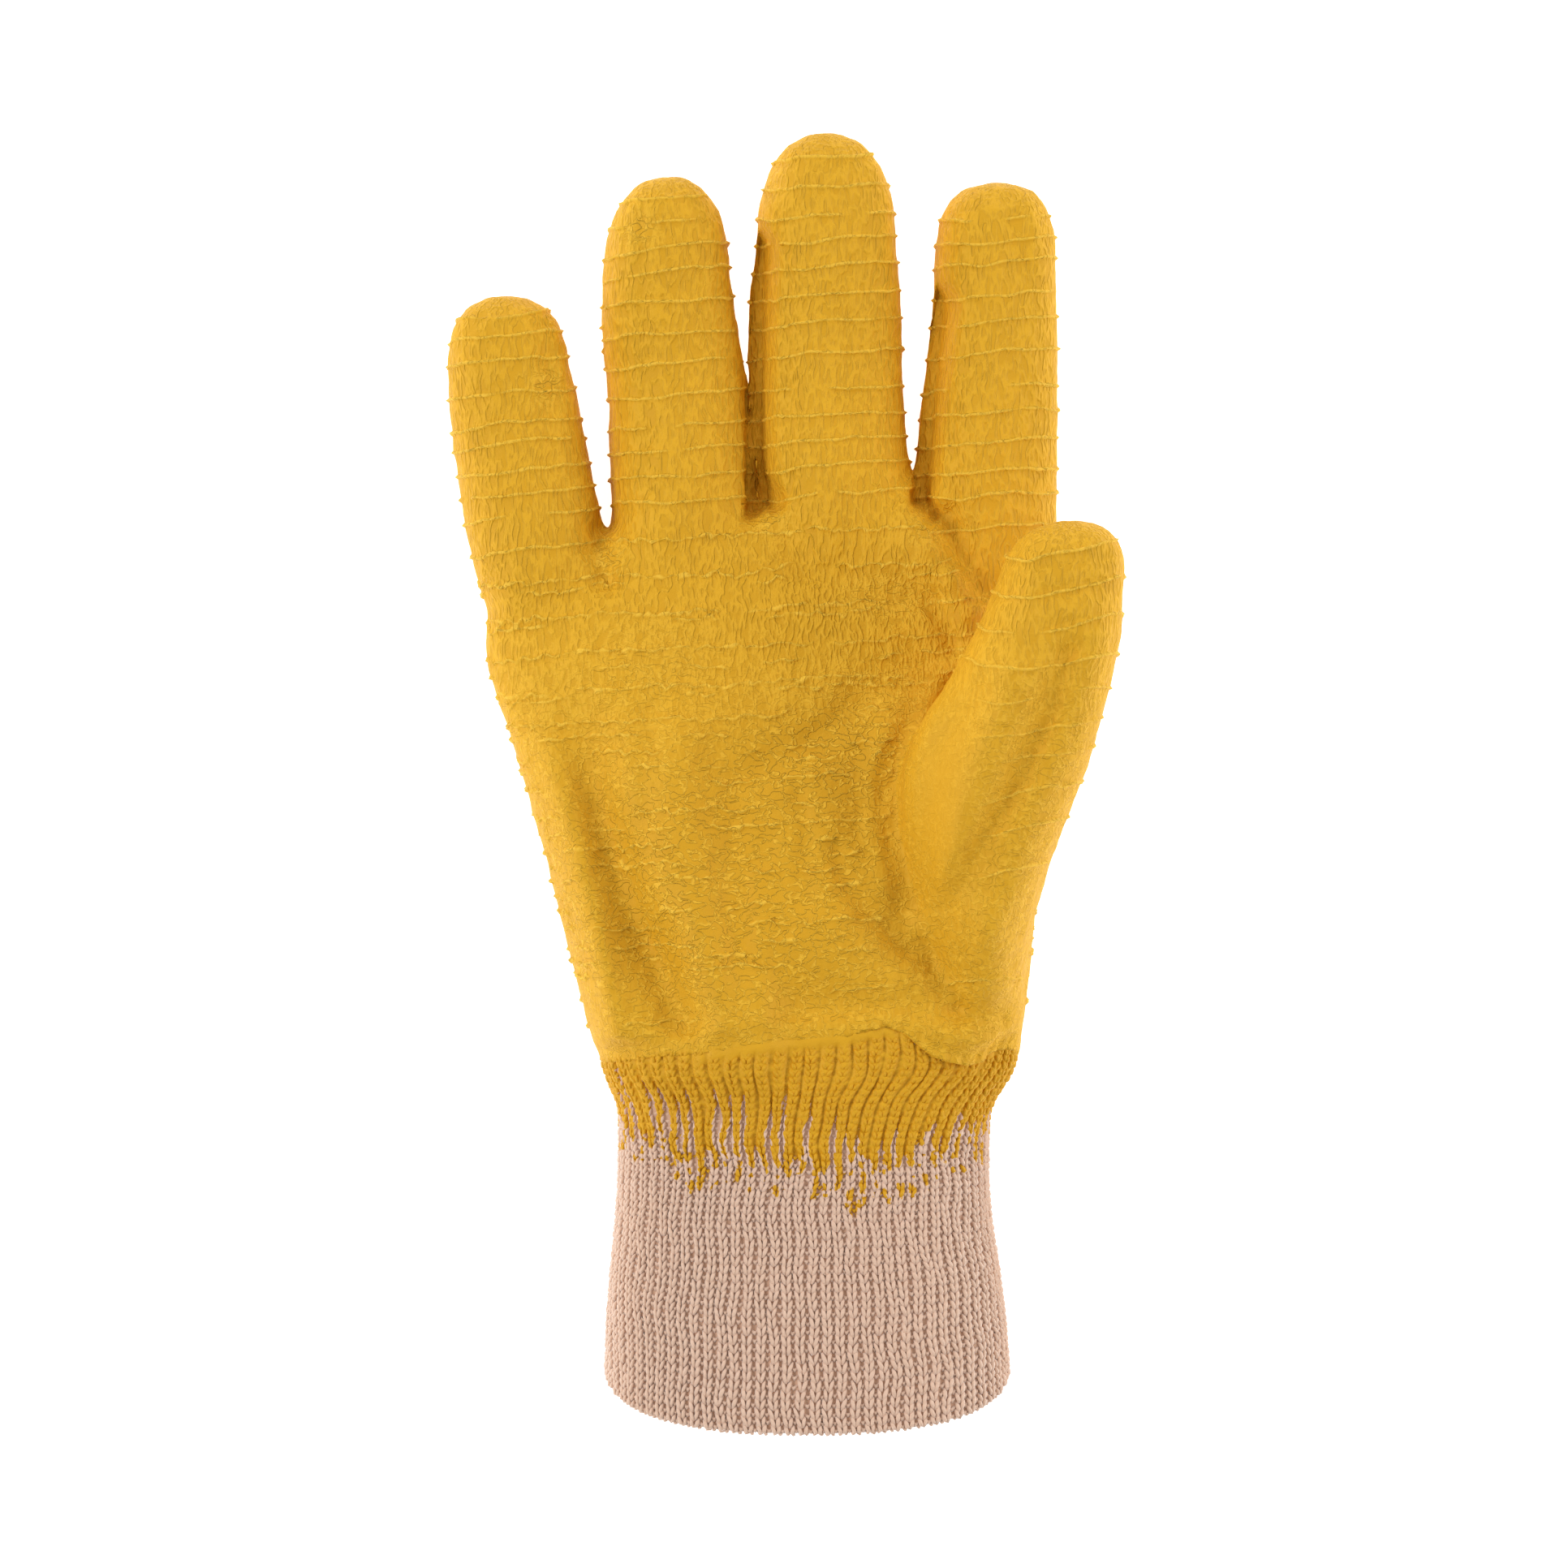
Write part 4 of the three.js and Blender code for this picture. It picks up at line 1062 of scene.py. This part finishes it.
class LatexRun:
    """Where the latex covers the ribs."""

    def __init__(self, surface):
        rng = np.random.default_rng(61)
        ribs = surface.ribs
        on_rib, _ = run_ends(surface, np.arange(ribs))
        _, in_valley = run_ends(surface, np.arange(ribs) + 0.5)
        self.ribs = ribs
        self.on_rib = on_rib + rng.normal(0, RUN_UNEVEN["rib"], ribs)
        filled = rng.random(ribs) < FILLED["share"]
        nearly = on_rib + rng.uniform(*FILLED["by"], ribs)
        self.in_valley = np.where(filled, nearly, in_valley + rng.normal(0, RUN_UNEVEN["valley"], ribs))
        flecks = []
        for rib in range(ribs):
            for _ in range(rng.integers(*FLECKS["count"])):
                small = rng.uniform(*FLECKS["small"])
                across = rib + rng.normal(0, FLECKS["stray"])
                y = on_rib[rib] + FLECKS["above"] - FLECKS["reach"] * rng.random() ** FLECKS["crowd"]
                least, more = FLECKS["height"]
                flecks.append((across, y, FLECKS["breadth"] * small,
                               least + rng.uniform(0.0, more) * small ** 2))
        self.flecks = np.array(flecks)

    def cover(self, rib, y, with_flecks=False):
        """How many millimetres inside the latex a place lies: below zero it is bare."""
        near = np.round(rib).astype(int)
        u = rib - near
        side = np.where(u < 0, near - 1, near) % self.ribs
        place = np.stack([RIB_PITCH * rib, y], axis=1)
        share = ease(np.abs(u) + layered(place, RUN_WANDER), *RUN_SLOPE)
        end = self.on_rib[near % self.ribs] * (1 - share) + self.in_valley[side] * share
        inside = y - end + layered(place, RUN_RAGGED)
        beside, along = FLECKS["near"]
        for centre, at, wide, tall in self.flecks if with_flecks else ():
            close = (np.abs(rib - centre) < beside) & (np.abs(y - at) < along)
            if close.any():
                r2 = ((rib[close] - centre) / wide) ** 2 + ((y[close] - at) / tall) ** 2
                inside[close] = np.maximum(inside[close], FLECKS["inside"] * (1 - r2))
        return inside


def rib_shape(rib):
    """1 on the top of a rib, and 0 in the valley."""
    return 1 - ease(np.abs(rib - np.round(rib)), *RIB_CROWN)


def leg_of_stitch(side, pitch, half_yarn, jitter):
    """One leg of each V: its rings' places beside the rib's middle, down and out, and their radius."""
    t = np.array(LEG["rings"])
    stray = {key: LEG_STRAY[key] * jitter[:, n:n + 1] for n, key in enumerate(LEG_STRAY)}
    across = side * (LEG["across"] - LEG["in"] * t)[None] + stray["across"]
    across = across + stray["turn"] * (t - 0.5)[None]
    down = (LEG["down"] + LEG["long"] * t)[None] * pitch + stray["down"]
    out = np.array(LEG["out"])[None] + stray["out"] + 0 * across
    radius = half_yarn * np.array(LEG["radius"])[None] * (1 + stray["radius"])
    return across, down, out, radius


def purl_bump(pitch, half_yarn, jitter, deeper):
    """The bump beside each V, in the valley, in the same way."""
    t = np.array(PURL["rings"])
    down = PURL["sag"] * pitch * (1 - t ** 2)[None] + PURL["stray"] * jitter
    across = 0.5 + PURL["across"] * t[None] + 0 * down
    out = np.array(PURL["out"])[None] - deeper + 0 * down
    return across, down, out, half_yarn * np.array(PURL["radius"])[None]


def make_stitches(surface, run, size):
    """The V-shaped stitches of each rib and the purl bumps between the ribs, as three pieces. Each
    vertex also gets how far inside the latex it lies."""
    pitch = KNIT_LENGTH / size["courses"]
    rows = np.arange(STITCH_FROM, size["courses"] + COURSES_INSIDE)
    rib, row = (g.ravel().astype(float) for g in np.meshgrid(np.arange(size["ribs"]), rows))
    down = row * pitch
    outside = down < KNIT_LENGTH
    middle = surface.at(rib, np.minimum(down, KNIT_LENGTH), 0.0)
    seen = (edge_height(middle) < STITCH_LAP) | ~outside
    coated = seen & outside & (run.cover(rib, surface.y_at(down)) > COATED_FROM)
    on_palm = surface.at(rib, np.minimum(down, HALF_AT), 0.0)[:, 2] > HALF_HEIGHT
    rng = np.random.default_rng(71)
    half_yarn = size["yarn"] / 2
    made = {}
    for name, kept, deeper in (("coated_stitches", coated, COATED_PURL),
                               ("rib_stitches_palm", seen & ~coated & on_palm, 0.0),
                               ("rib_stitches_back", seen & ~coated & ~on_palm, 0.0)):
        shapes = []
        for side in (-1, 1):
            jitter = np.clip(rng.normal(0, 1, (kept.sum(), len(LEG_STRAY))), -2, 2)
            shapes.append(leg_of_stitch(side, pitch, half_yarn, jitter) + (5,))
        shapes.append(purl_bump(pitch, half_yarn, rng.normal(0, 1, (kept.sum(), 1)), deeper) + (4,))
        r, d = rib[kept][:, None], down[kept][:, None]
        points, faces, places = joined([
            yarn_pieces(surface, r + across, d + below, out, radius, sides)
            for across, below, out, radius, sides in shapes])
        cover = run.cover(places[:, 0], surface.y_at(places[:, 1]), True)
        made[name] = (points, faces, np.where(places[:, 1] < KNIT_LENGTH, cover, BARE))
    return made


def sheet_places(ribs, down):
    """The rib and the length down the cuff of each place on a sheet round it, and its vertex number."""
    rib, down = np.meshgrid(np.arange(SHEET_STEPS * ribs) / SHEET_STEPS, down)
    return rib, down, np.arange(rib.size).reshape(rib.shape)


def faces_between(upper, lower):
    """The four-sided faces between rows of vertex numbers that close round the cuff."""
    corners = (upper, np.roll(upper, -1, -1), np.roll(lower, -1, -1), lower)
    return np.stack(corners, -1).reshape(-1, 4)


def make_ground(surface, run, size):
    """The fabric behind the stitches: a closed fluted tube, folded over at the hem. Each vertex also
    gets how far inside the latex it lies."""
    ends = (GROUND_FROM, *HEM_SPAN, surface.down[-1] - GROUND_FROM)
    rows = np.concatenate([np.arange(*span) for span in zip(ends, ends[1:], GROUND_ROWS)])
    rib, down, index = sheet_places(size["ribs"], rows)
    out = GROUND_OUT["valley"] + GROUND_OUT["rib"] * rib_shape(rib)
    height = edge_height(surface.at(rib, down, 0.0).reshape(-1, 3)).reshape(out.shape)
    out -= GROUND_SUNK["depth"] * ease(height, *GROUND_SUNK["between"]) * (down < KNIT_LENGTH / 2)
    points = surface.at(rib, down, out).reshape(-1, 3)
    quads = np.vstack([faces_between(index[:-1], index[1:]), faces_between(index[-1], index[0])])
    faces = np.vstack([quads[:, [0, 1, 2]], quads[:, [0, 2, 3]]])
    rib, down = rib.ravel(), down.ravel()
    cover = run.cover(rib, surface.y_at(down)) - GROUND_BARE
    return *outward(points, faces), np.where(down < KNIT_LENGTH, cover, BARE)


def outward(points, faces):
    """The same closed mesh with its faces pointing out."""
    a, b, c = (points[faces[:, k]] for k in range(3))
    volume = np.einsum("ij,ij->i", a, np.cross(b, c)).sum()
    return points, faces if volume > 0 else faces[:, ::-1]


def make_run(surface, run, size):
    """The latex that ran down over the ribs, cut to its ragged edge."""
    rib, down, index = sheet_places(size["ribs"], np.arange(0, RUN_LENGTH, RUN_ROWS))
    cover = run.cover(rib.ravel(), surface.y_at(down).ravel()).reshape(rib.shape)
    u = np.abs(rib - np.round(rib))
    course = down / (KNIT_LENGTH / size["courses"])
    stitch = np.cos(2 * math.pi * (course + RUN_STITCH["slant"] * u)) * (1 - ease(u, *RUN_STITCH["fade"]))
    lumps = layered(np.stack([RIB_PITCH * rib.ravel(), down.ravel()], axis=1), RUN_LUMPS)
    out = RUN_OUT["valley"] + RUN_OUT["rib"] * rib_shape(rib) + RUN_OUT["stitch"] * stitch
    out += lumps.reshape(rib.shape)
    out -= RUN_OUT["thinner"] * (1 - ease(cover, *RUN_OUT["thin"]))
    flat = surface.at(rib, down, 0.0)
    below = -edge_height(flat.reshape(-1, 3)).reshape(rib.shape)
    flush = (1 - ease(below, *RUN_SMOOTH)) * flush_share(flat[..., 0]) * ease(flat[..., 2], *PALM_SIDE)
    out += flush * (EDGE_FLUSH["skin"] - out)
    points = surface.at(rib, down, out).reshape(-1, 3)
    quads = faces_between(index[:-1], index[1:])
    faces = np.vstack([quads[:, [0, 2, 1]], quads[:, [0, 3, 2]]])
    inside = np.minimum(cover.ravel(), COAT_LAP - edge_height(points))
    return cut_at_zero(points, faces, inside, SNAP["latex"])[:2]


def solid_skin(name, points, faces, thickness):
    """A sheet made a closed skin: it gets its thickness towards the knit."""
    made = object_from(name, points, faces)
    normals = normals_of(points, faces)
    middle = points.mean(axis=0)
    if ((points - middle) * normals)[:, [0, 2]].sum() < 0:
        only(made)
        bpy.ops.object.mode_set(mode="EDIT")
        bpy.ops.mesh.select_all(action="SELECT")
        bpy.ops.mesh.flip_normals()
        bpy.ops.object.mode_set(mode="OBJECT")
    finish_with(made, "SOLIDIFY", thickness=thickness * MM, offset=-1.0, use_rim=True)
    made.data.shade_smooth()
    return made


# Materials

def add(tree, kind, settings=(), **links):
    """Adds a shader node, sets the properties given in settings, and for each further name links the
    socket it is given or sets the value. Input names have _ for a space."""
    node = tree.nodes.new(kind)
    for key, value in dict(settings).items():
        setattr(node, key, value)
    for name, value in links.items():
        socket = node.inputs[int(name[2:])] if name.startswith("in") and name[2:].isdigit() \
            else node.inputs[name.replace("_", " ")]
        if isinstance(value, bpy.types.NodeSocket):
            tree.links.new(value, socket)
        else:
            socket.default_value = value
    return node


def new_material(name):
    """An empty material with its output, and its node tree."""
    made = bpy.data.materials.new(name)
    made.use_nodes = True
    made.node_tree.nodes.clear()
    return made, made.node_tree


def crinkled_latex():
    """Natural rubber latex dipped over jersey and crinkled as it dried: satin, with fine wrinkles that
    have a painted highlight on their tops and painted shade between them."""
    made, tree = new_material("crinkled_natural_latex")
    place = add(tree, "ShaderNodeTexCoord").outputs["Object"]
    streaks = add(tree, "ShaderNodeAttribute", {"attribute_name": "streaks"}).outputs["Fac"]
    depth = add(tree, "ShaderNodeAttribute", {"attribute_name": "crinkle"}).outputs["Fac"]
    on_line = add(tree, "ShaderNodeAttribute", {"attribute_name": "line"}).outputs["Fac"]

    # Streaks along the fingers, 1.25 mm apart and 4.5 mm long, bent aside by up to 1.6 mm every 6 mm.
    bend = add(tree, "ShaderNodeTexNoise", {"noise_dimensions": "3D"}, Vector=place,
               Scale=PER_METRE / 6.0, Detail=1.0)
    bent = add(tree, "ShaderNodeVectorMath", {"operation": "MULTIPLY_ADD"},
               in0=bend.outputs["Color"], in1=(0.0016, 0.0, 0.0016), in2=place)
    streak_place = add(tree, "ShaderNodeMapping", {"vector_type": "POINT"}, Vector=bent.outputs[0],
                       Scale=(PER_METRE / 1.25, PER_METRE / 4.5, PER_METRE / 1.25))
    streak = add(tree, "ShaderNodeTexNoise", {}, Vector=streak_place.outputs[0],
                 Scale=1.0, Detail=1.5, Roughness=0.5)

    # The palm's net of ridges, with meshes of about 2.1 by 1.5 mm.
    net_place = add(tree, "ShaderNodeMapping", {"vector_type": "POINT"}, Vector=place,
                    Scale=(PER_METRE / 2.1, PER_METRE / 1.5, PER_METRE / 1.8))
    net = add(tree, "ShaderNodeTexNoise", {}, Vector=net_place.outputs[0],
              Scale=1.0, Detail=1.5, Roughness=0.5, Distortion=0.6)

    # A ridge stands where the noise is near its middle value.
    ridges = []
    for noise, breadth, rise in ((streak, 0.14, 1.15), (net, 0.065, 0.8)):
        off = add(tree, "ShaderNodeMath", {"operation": "SUBTRACT"}, in0=noise.outputs[0], in1=0.5)
        size = add(tree, "ShaderNodeMath", {"operation": "ABSOLUTE"}, in0=off.outputs[0])
        ridges.append(add(tree, "ShaderNodeMapRange", {"clamp": True, "interpolation_type": "SMOOTHSTEP"},
                          Value=size.outputs[0], From_Min=0.0, From_Max=breadth,
                          To_Min=rise, To_Max=0.0))
    wrinkle = add(tree, "ShaderNodeMix", {"data_type": "FLOAT"}, Factor=streaks,
                  in2=ridges[1].outputs[0], in3=ridges[0].outputs[0])
    height = add(tree, "ShaderNodeMath", {"operation": "MULTIPLY"}, in0=wrinkle.outputs[0], in1=depth)

    # Grain of 0.7 mm, the jersey that shows through the rubber.
    grain = add(tree, "ShaderNodeTexNoise", {}, Vector=place, Scale=PER_METRE / 0.7, Detail=2.0,
                Roughness=0.6)
    relief = add(tree, "ShaderNodeMath", {"operation": "MULTIPLY_ADD"}, in0=grain.outputs[0], in1=0.4,
                 in2=height.outputs[0])
    bump = add(tree, "ShaderNodeBump", {}, Height=relief.outputs[0], Strength=1.0, Distance=0.0003)

    # Deeper in random blotches of 14 mm, and painted shade between the ridges.
    blotch = add(tree, "ShaderNodeTexNoise", {}, Vector=place, Scale=PER_METRE / 14.0, Detail=2.0)
    deep = add(tree, "ShaderNodeMapRange", {"clamp": True}, Value=height.outputs[0],
               From_Min=0.0, From_Max=0.4, To_Min=0.2, To_Max=0.0)
    tone = add(tree, "ShaderNodeMath", {"operation": "MULTIPLY_ADD"}, in0=blotch.outputs[0], in1=0.2,
               in2=deep.outputs[0])
    ground = add(tree, "ShaderNodeMix", {"data_type": "RGBA"}, Factor=tone.outputs[0],
                 in6=colours().latex[:], in7=colours().latex_darker_tone_and_painted_shade[:])

    # Painted highlight: lighter on the raised lines, and less so on the fine ridges, of which the net's
    # show more.
    line_painted_highlight = add(tree, "ShaderNodeMapRange", {"clamp": True}, Value=on_line,
                     From_Min=0.2, From_Max=1.1, To_Min=0.0, To_Max=0.85)
    shown = add(tree, "ShaderNodeMapRange", {"clamp": True}, Value=streaks,
                From_Min=0.25, From_Max=1.0, To_Min=0.6, To_Max=0.1)
    ridge_painted_highlight = add(tree, "ShaderNodeMath", {"operation": "MULTIPLY"}, in0=height.outputs[0],
                     in1=shown.outputs[0])
    painted_highlight_share = add(tree, "ShaderNodeMath", {"operation": "MAXIMUM"}, in0=line_painted_highlight.outputs[0],
                 in1=ridge_painted_highlight.outputs[0])
    colour = add(tree, "ShaderNodeMix", {"data_type": "RGBA"}, Factor=painted_highlight_share.outputs[0],
                 in6=ground.outputs[2], in7=colours().latex_painted_highlight[:])
    surface = add(tree, "ShaderNodeBsdfPrincipled", {}, Base_Color=colour.outputs[2], Roughness=0.65,
                  IOR=1.5, Specular_IOR_Level=0.25, Normal=bump.outputs[0])
    add(tree, "ShaderNodeOutputMaterial", {}, Surface=surface.outputs[0])
    return made


def thin_latex():
    """The same latex soaked into the ribs: thinner, smoother and a little glossier. It has a grain of
    0.5 mm and is deeper in patches of 3 mm."""
    made, tree = new_material("thin_natural_latex")
    place = add(tree, "ShaderNodeTexCoord").outputs["Object"]
    grain = add(tree, "ShaderNodeTexNoise", {}, Vector=place, Scale=PER_METRE / 0.5, Detail=2.0)
    patch = add(tree, "ShaderNodeTexNoise", {}, Vector=place, Scale=PER_METRE / 3.0, Detail=2.0)
    bump = add(tree, "ShaderNodeBump", {}, Height=grain.outputs[0], Strength=0.6, Distance=0.00012)
    tone = add(tree, "ShaderNodeMath", {"operation": "MULTIPLY"}, in0=patch.outputs[0], in1=0.45)
    colour = add(tree, "ShaderNodeMix", {"data_type": "RGBA"}, Factor=tone.outputs[0],
                 in6=colours().latex[:], in7=colours().latex_darker_tone_and_painted_shade[:])
    surface = add(tree, "ShaderNodeBsdfPrincipled", {}, Base_Color=colour.outputs[2], Roughness=0.6,
                  IOR=1.5, Specular_IOR_Level=0.25, Normal=bump.outputs[0])
    add(tree, "ShaderNodeOutputMaterial", {}, Surface=surface.outputs[0])
    return made


def cotton_yarn(name, light, dark):
    """Carded cotton: matt and dusty, with fibres of 0.28 mm, each stitch a slightly different tone. Where
    the mark "cover" is above zero, yellow latex has soaked into it, with a crisp, ragged edge, and makes
    it satin."""
    made, tree = new_material(name)
    place = add(tree, "ShaderNodeTexCoord").outputs["Object"]
    cover = add(tree, "ShaderNodeAttribute", {"attribute_name": "cover"}).outputs["Fac"]
    fibre = add(tree, "ShaderNodeTexNoise", {}, Vector=place, Scale=PER_METRE / 0.28, Detail=3.0)
    tone = add(tree, "ShaderNodeTexNoise", {}, Vector=place, Scale=PER_METRE / 2.0, Detail=2.0)
    ragged = add(tree, "ShaderNodeTexNoise", {}, Vector=place, Scale=PER_METRE / 0.7, Detail=2.0)
    bump = add(tree, "ShaderNodeBump", {}, Height=fibre.outputs[0], Strength=0.7, Distance=0.0001)
    cotton = add(tree, "ShaderNodeMix", {"data_type": "RGBA"}, Factor=tone.outputs[0],
                 in6=light, in7=dark)
    yellow_tone = add(tree, "ShaderNodeMath", {"operation": "MULTIPLY"}, in0=tone.outputs[0], in1=0.6)
    yellow = add(tree, "ShaderNodeMix", {"data_type": "RGBA"}, Factor=yellow_tone.outputs[0],
                 in6=colours().latex[:], in7=colours().latex_darker_tone_and_painted_shade[:])
    inside = add(tree, "ShaderNodeMath", {"operation": "MULTIPLY_ADD"}, in0=ragged.outputs[0], in1=1.2,
                 in2=cover)
    soaked = add(tree, "ShaderNodeMapRange", {"clamp": True}, Value=inside.outputs[0],
                 From_Min=0.6, From_Max=0.75, To_Min=0.0, To_Max=1.0).outputs[0]
    colour = add(tree, "ShaderNodeMix", {"data_type": "RGBA"}, Factor=soaked,
                 in6=cotton.outputs[2], in7=yellow.outputs[2])
    rough = add(tree, "ShaderNodeMapRange", {}, Value=soaked,
                From_Min=0.0, From_Max=1.0, To_Min=0.95, To_Max=0.55)
    dust = add(tree, "ShaderNodeMapRange", {}, Value=soaked,
               From_Min=0.0, From_Max=1.0, To_Min=0.7, To_Max=0.0)
    surface = add(tree, "ShaderNodeBsdfPrincipled", {}, Base_Color=colour.outputs[2],
                  Roughness=rough.outputs[0], IOR=1.45, Specular_IOR_Level=0.3,
                  Sheen_Weight=dust.outputs[0], Sheen_Roughness=0.5, Normal=bump.outputs[0])
    add(tree, "ShaderNodeOutputMaterial", {}, Surface=surface.outputs[0])
    return made


def white_paper():
    """Matt white paper that glows a little: a plain, even ground with a faint shadow on it."""
    made, tree = new_material("matt_white_paper")
    surface = add(tree, "ShaderNodeBsdfPrincipled", {}, Base_Color=colours().backdrop[:], Roughness=0.9,
                  Emission_Color=(1, 1, 1, 1), Emission_Strength=PAPER_GLOW)
    add(tree, "ShaderNodeOutputMaterial", {}, Surface=surface.outputs[0])
    return made


# The steps

class GLOVE_OT_stage(bpy.types.Operator):
    """Sets the pale floor, the soft lights and the camera above the palm"""

    bl_idname = "glove.stage"
    bl_label = "Stage"

    def execute(self, context):
        bpy.ops.mesh.primitive_plane_add(size=FLOOR_SIZE, location=(0, 0, 0))
        floor = context.object
        floor.name = "studio_floor"
        floor.data.materials.append(white_paper())

        world = bpy.data.worlds.new("studio")
        world.use_nodes = True
        sky = world.node_tree.nodes["Background"]
        sky.inputs["Color"].default_value = (1, 1, 1, 1)
        sky.inputs["Strength"].default_value = SKY_LIGHT
        context.scene.world = world
        for name, place, side, power in SOFTBOXES:
            bpy.ops.object.light_add(type="AREA", location=place)
            lamp = context.object
            lamp.name = name
            lamp.data.shape = "SQUARE"
            lamp.data.size = side
            lamp.data.energy = power
            lamp.rotation_euler = (-Vector(place)).to_track_quat("-Z", "Y").to_euler()

        camera = bpy.data.cameras.new("above_the_palm")
        camera.sensor_width = SENSOR_WIDTH
        camera.lens = SENSOR_WIDTH * VIEW_DISTANCE / FRAME_WIDTH
        camera.clip_start, camera.clip_end = 0.1, 20.0
        held = bpy.data.objects.new("above_the_palm", camera)
        context.scene.collection.objects.link(held)
        held.location = (CENTRE_X, CENTRE_Y, VIEW_PLANE + VIEW_DISTANCE)
        context.scene.camera = held
        context.scene.view_settings.view_transform = "Standard"
        return {"FINISHED"}


class GLOVE_OT_coat(bpy.types.Operator):
    """Makes the crinkled latex coat of the hand, with the jersey inside it"""

    bl_idname = "glove.coat"
    bl_label = "Crinkled coat"

    def execute(self, context):
        coat = coat_hand(CuffSurface(sizes()["ribs"]))
        mark_wrinkles(coat)
        coat.data.materials.append(crinkled_latex())
        coat.data.materials.append(cotton_yarn(
            "jersey_liner", colours().jersey[:], colours().jersey_deep[:]))
        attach(coat, "root")
        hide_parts("coated_hand")
        return {"FINISHED"}


def cuff_layout():
    """The surface that the knit lies on, where the latex covers it, and the sizes."""
    size = sizes()
    surface = CuffSurface(size["ribs"])
    return surface, LatexRun(surface), size


class GLOVE_OT_stitches(bpy.types.Operator):
    """Makes the cuff's stitches as yarn: on the palm side, on the back, and those that latex covers"""

    bl_idname = "glove.stitches"
    bl_label = "Rib stitches"

    def execute(self, context):
        yarn = cotton_yarn("carded_cotton_yarn", colours().cotton[:], colours().cotton_worn[:])
        for name, (points, faces, cover) in make_stitches(*cuff_layout()).items():
            stitches = object_from(name, points, faces)
            mark(stitches, "cover", cover)
            stitches.data.materials.append(yarn)
            on_latex = name == "coated_stitches"
            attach(stitches, "root")
            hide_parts("dripped_coat" if on_latex else "rib_cuff")
        return {"FINISHED"}


class GLOVE_OT_ground(bpy.types.Operator):
    """Makes the fabric behind the cuff's stitches, folded over at the hem"""

    bl_idname = "glove.ground"
    bl_label = "Fabric behind the stitches"

    def execute(self, context):
        points, faces, cover = make_ground(*cuff_layout())
        tube = object_from("rib_ground", points, faces)
        mark(tube, "cover", cover)
        # Its colours are painted shade for the valleys between the ribs.
        tube.data.materials.append(cotton_yarn(
            "cotton_between_ribs", colours().cotton_in_painted_shade[:], colours().cotton_in_painted_shade_darker[:]))
        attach(tube, "root")
        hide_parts("rib_cuff")
        return {"FINISHED"}


class GLOVE_OT_latex_on_ribs(bpy.types.Operator):
    """Makes the thin latex that ran down over the ribs"""

    bl_idname = "glove.latex_on_ribs"
    bl_label = "Latex on the ribs"

    def execute(self, context):
        surface, run, size = cuff_layout()
        skin = solid_skin("latex_on_ribs", *make_run(surface, run, size), size["latex_skin"])
        skin.data.materials.append(thin_latex())
        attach(skin, "root")
        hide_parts("dripped_coat")
        return {"FINISHED"}


class GLOVE_PT_panel(bpy.types.Panel):
    """Lists the steps that make the glove"""

    bl_idname = "GLOVE_PT_panel"
    bl_label = "Work glove"
    bl_space_type = "VIEW_3D"
    bl_region_type = "UI"
    bl_category = "Work glove"

    def draw(self, context):
        for held in (context.scene.glove_sizes, context.scene.glove_colours):
            for key in held.__annotations__:
                self.layout.prop(held, key)
        for operator in STEPS:
            self.layout.operator(operator.bl_idname)


STEPS = (GLOVE_OT_stage, GLOVE_OT_coat, GLOVE_OT_stitches, GLOVE_OT_ground, GLOVE_OT_latex_on_ribs)
CLASSES = (GloveSizes, GloveColours, *STEPS, GLOVE_PT_panel)


def register():
    """Makes the glove's classes and settings known to Blender."""
    for made in CLASSES:
        bpy.utils.register_class(made)
    bpy.types.Scene.glove_sizes = PointerProperty(type=GloveSizes)
    bpy.types.Scene.glove_colours = PointerProperty(type=GloveColours)


def unregister():
    """Takes them out again."""
    del bpy.types.Scene.glove_colours
    del bpy.types.Scene.glove_sizes
    for made in reversed(CLASSES):
        bpy.utils.unregister_class(made)


def main():
    """Makes the glove."""
    register()
    bpy.ops.glove.stage()
    bpy.ops.glove.coat()
    bpy.ops.glove.stitches()
    bpy.ops.glove.ground()
    bpy.ops.glove.latex_on_ribs()


if __name__ == "__main__":
    main()
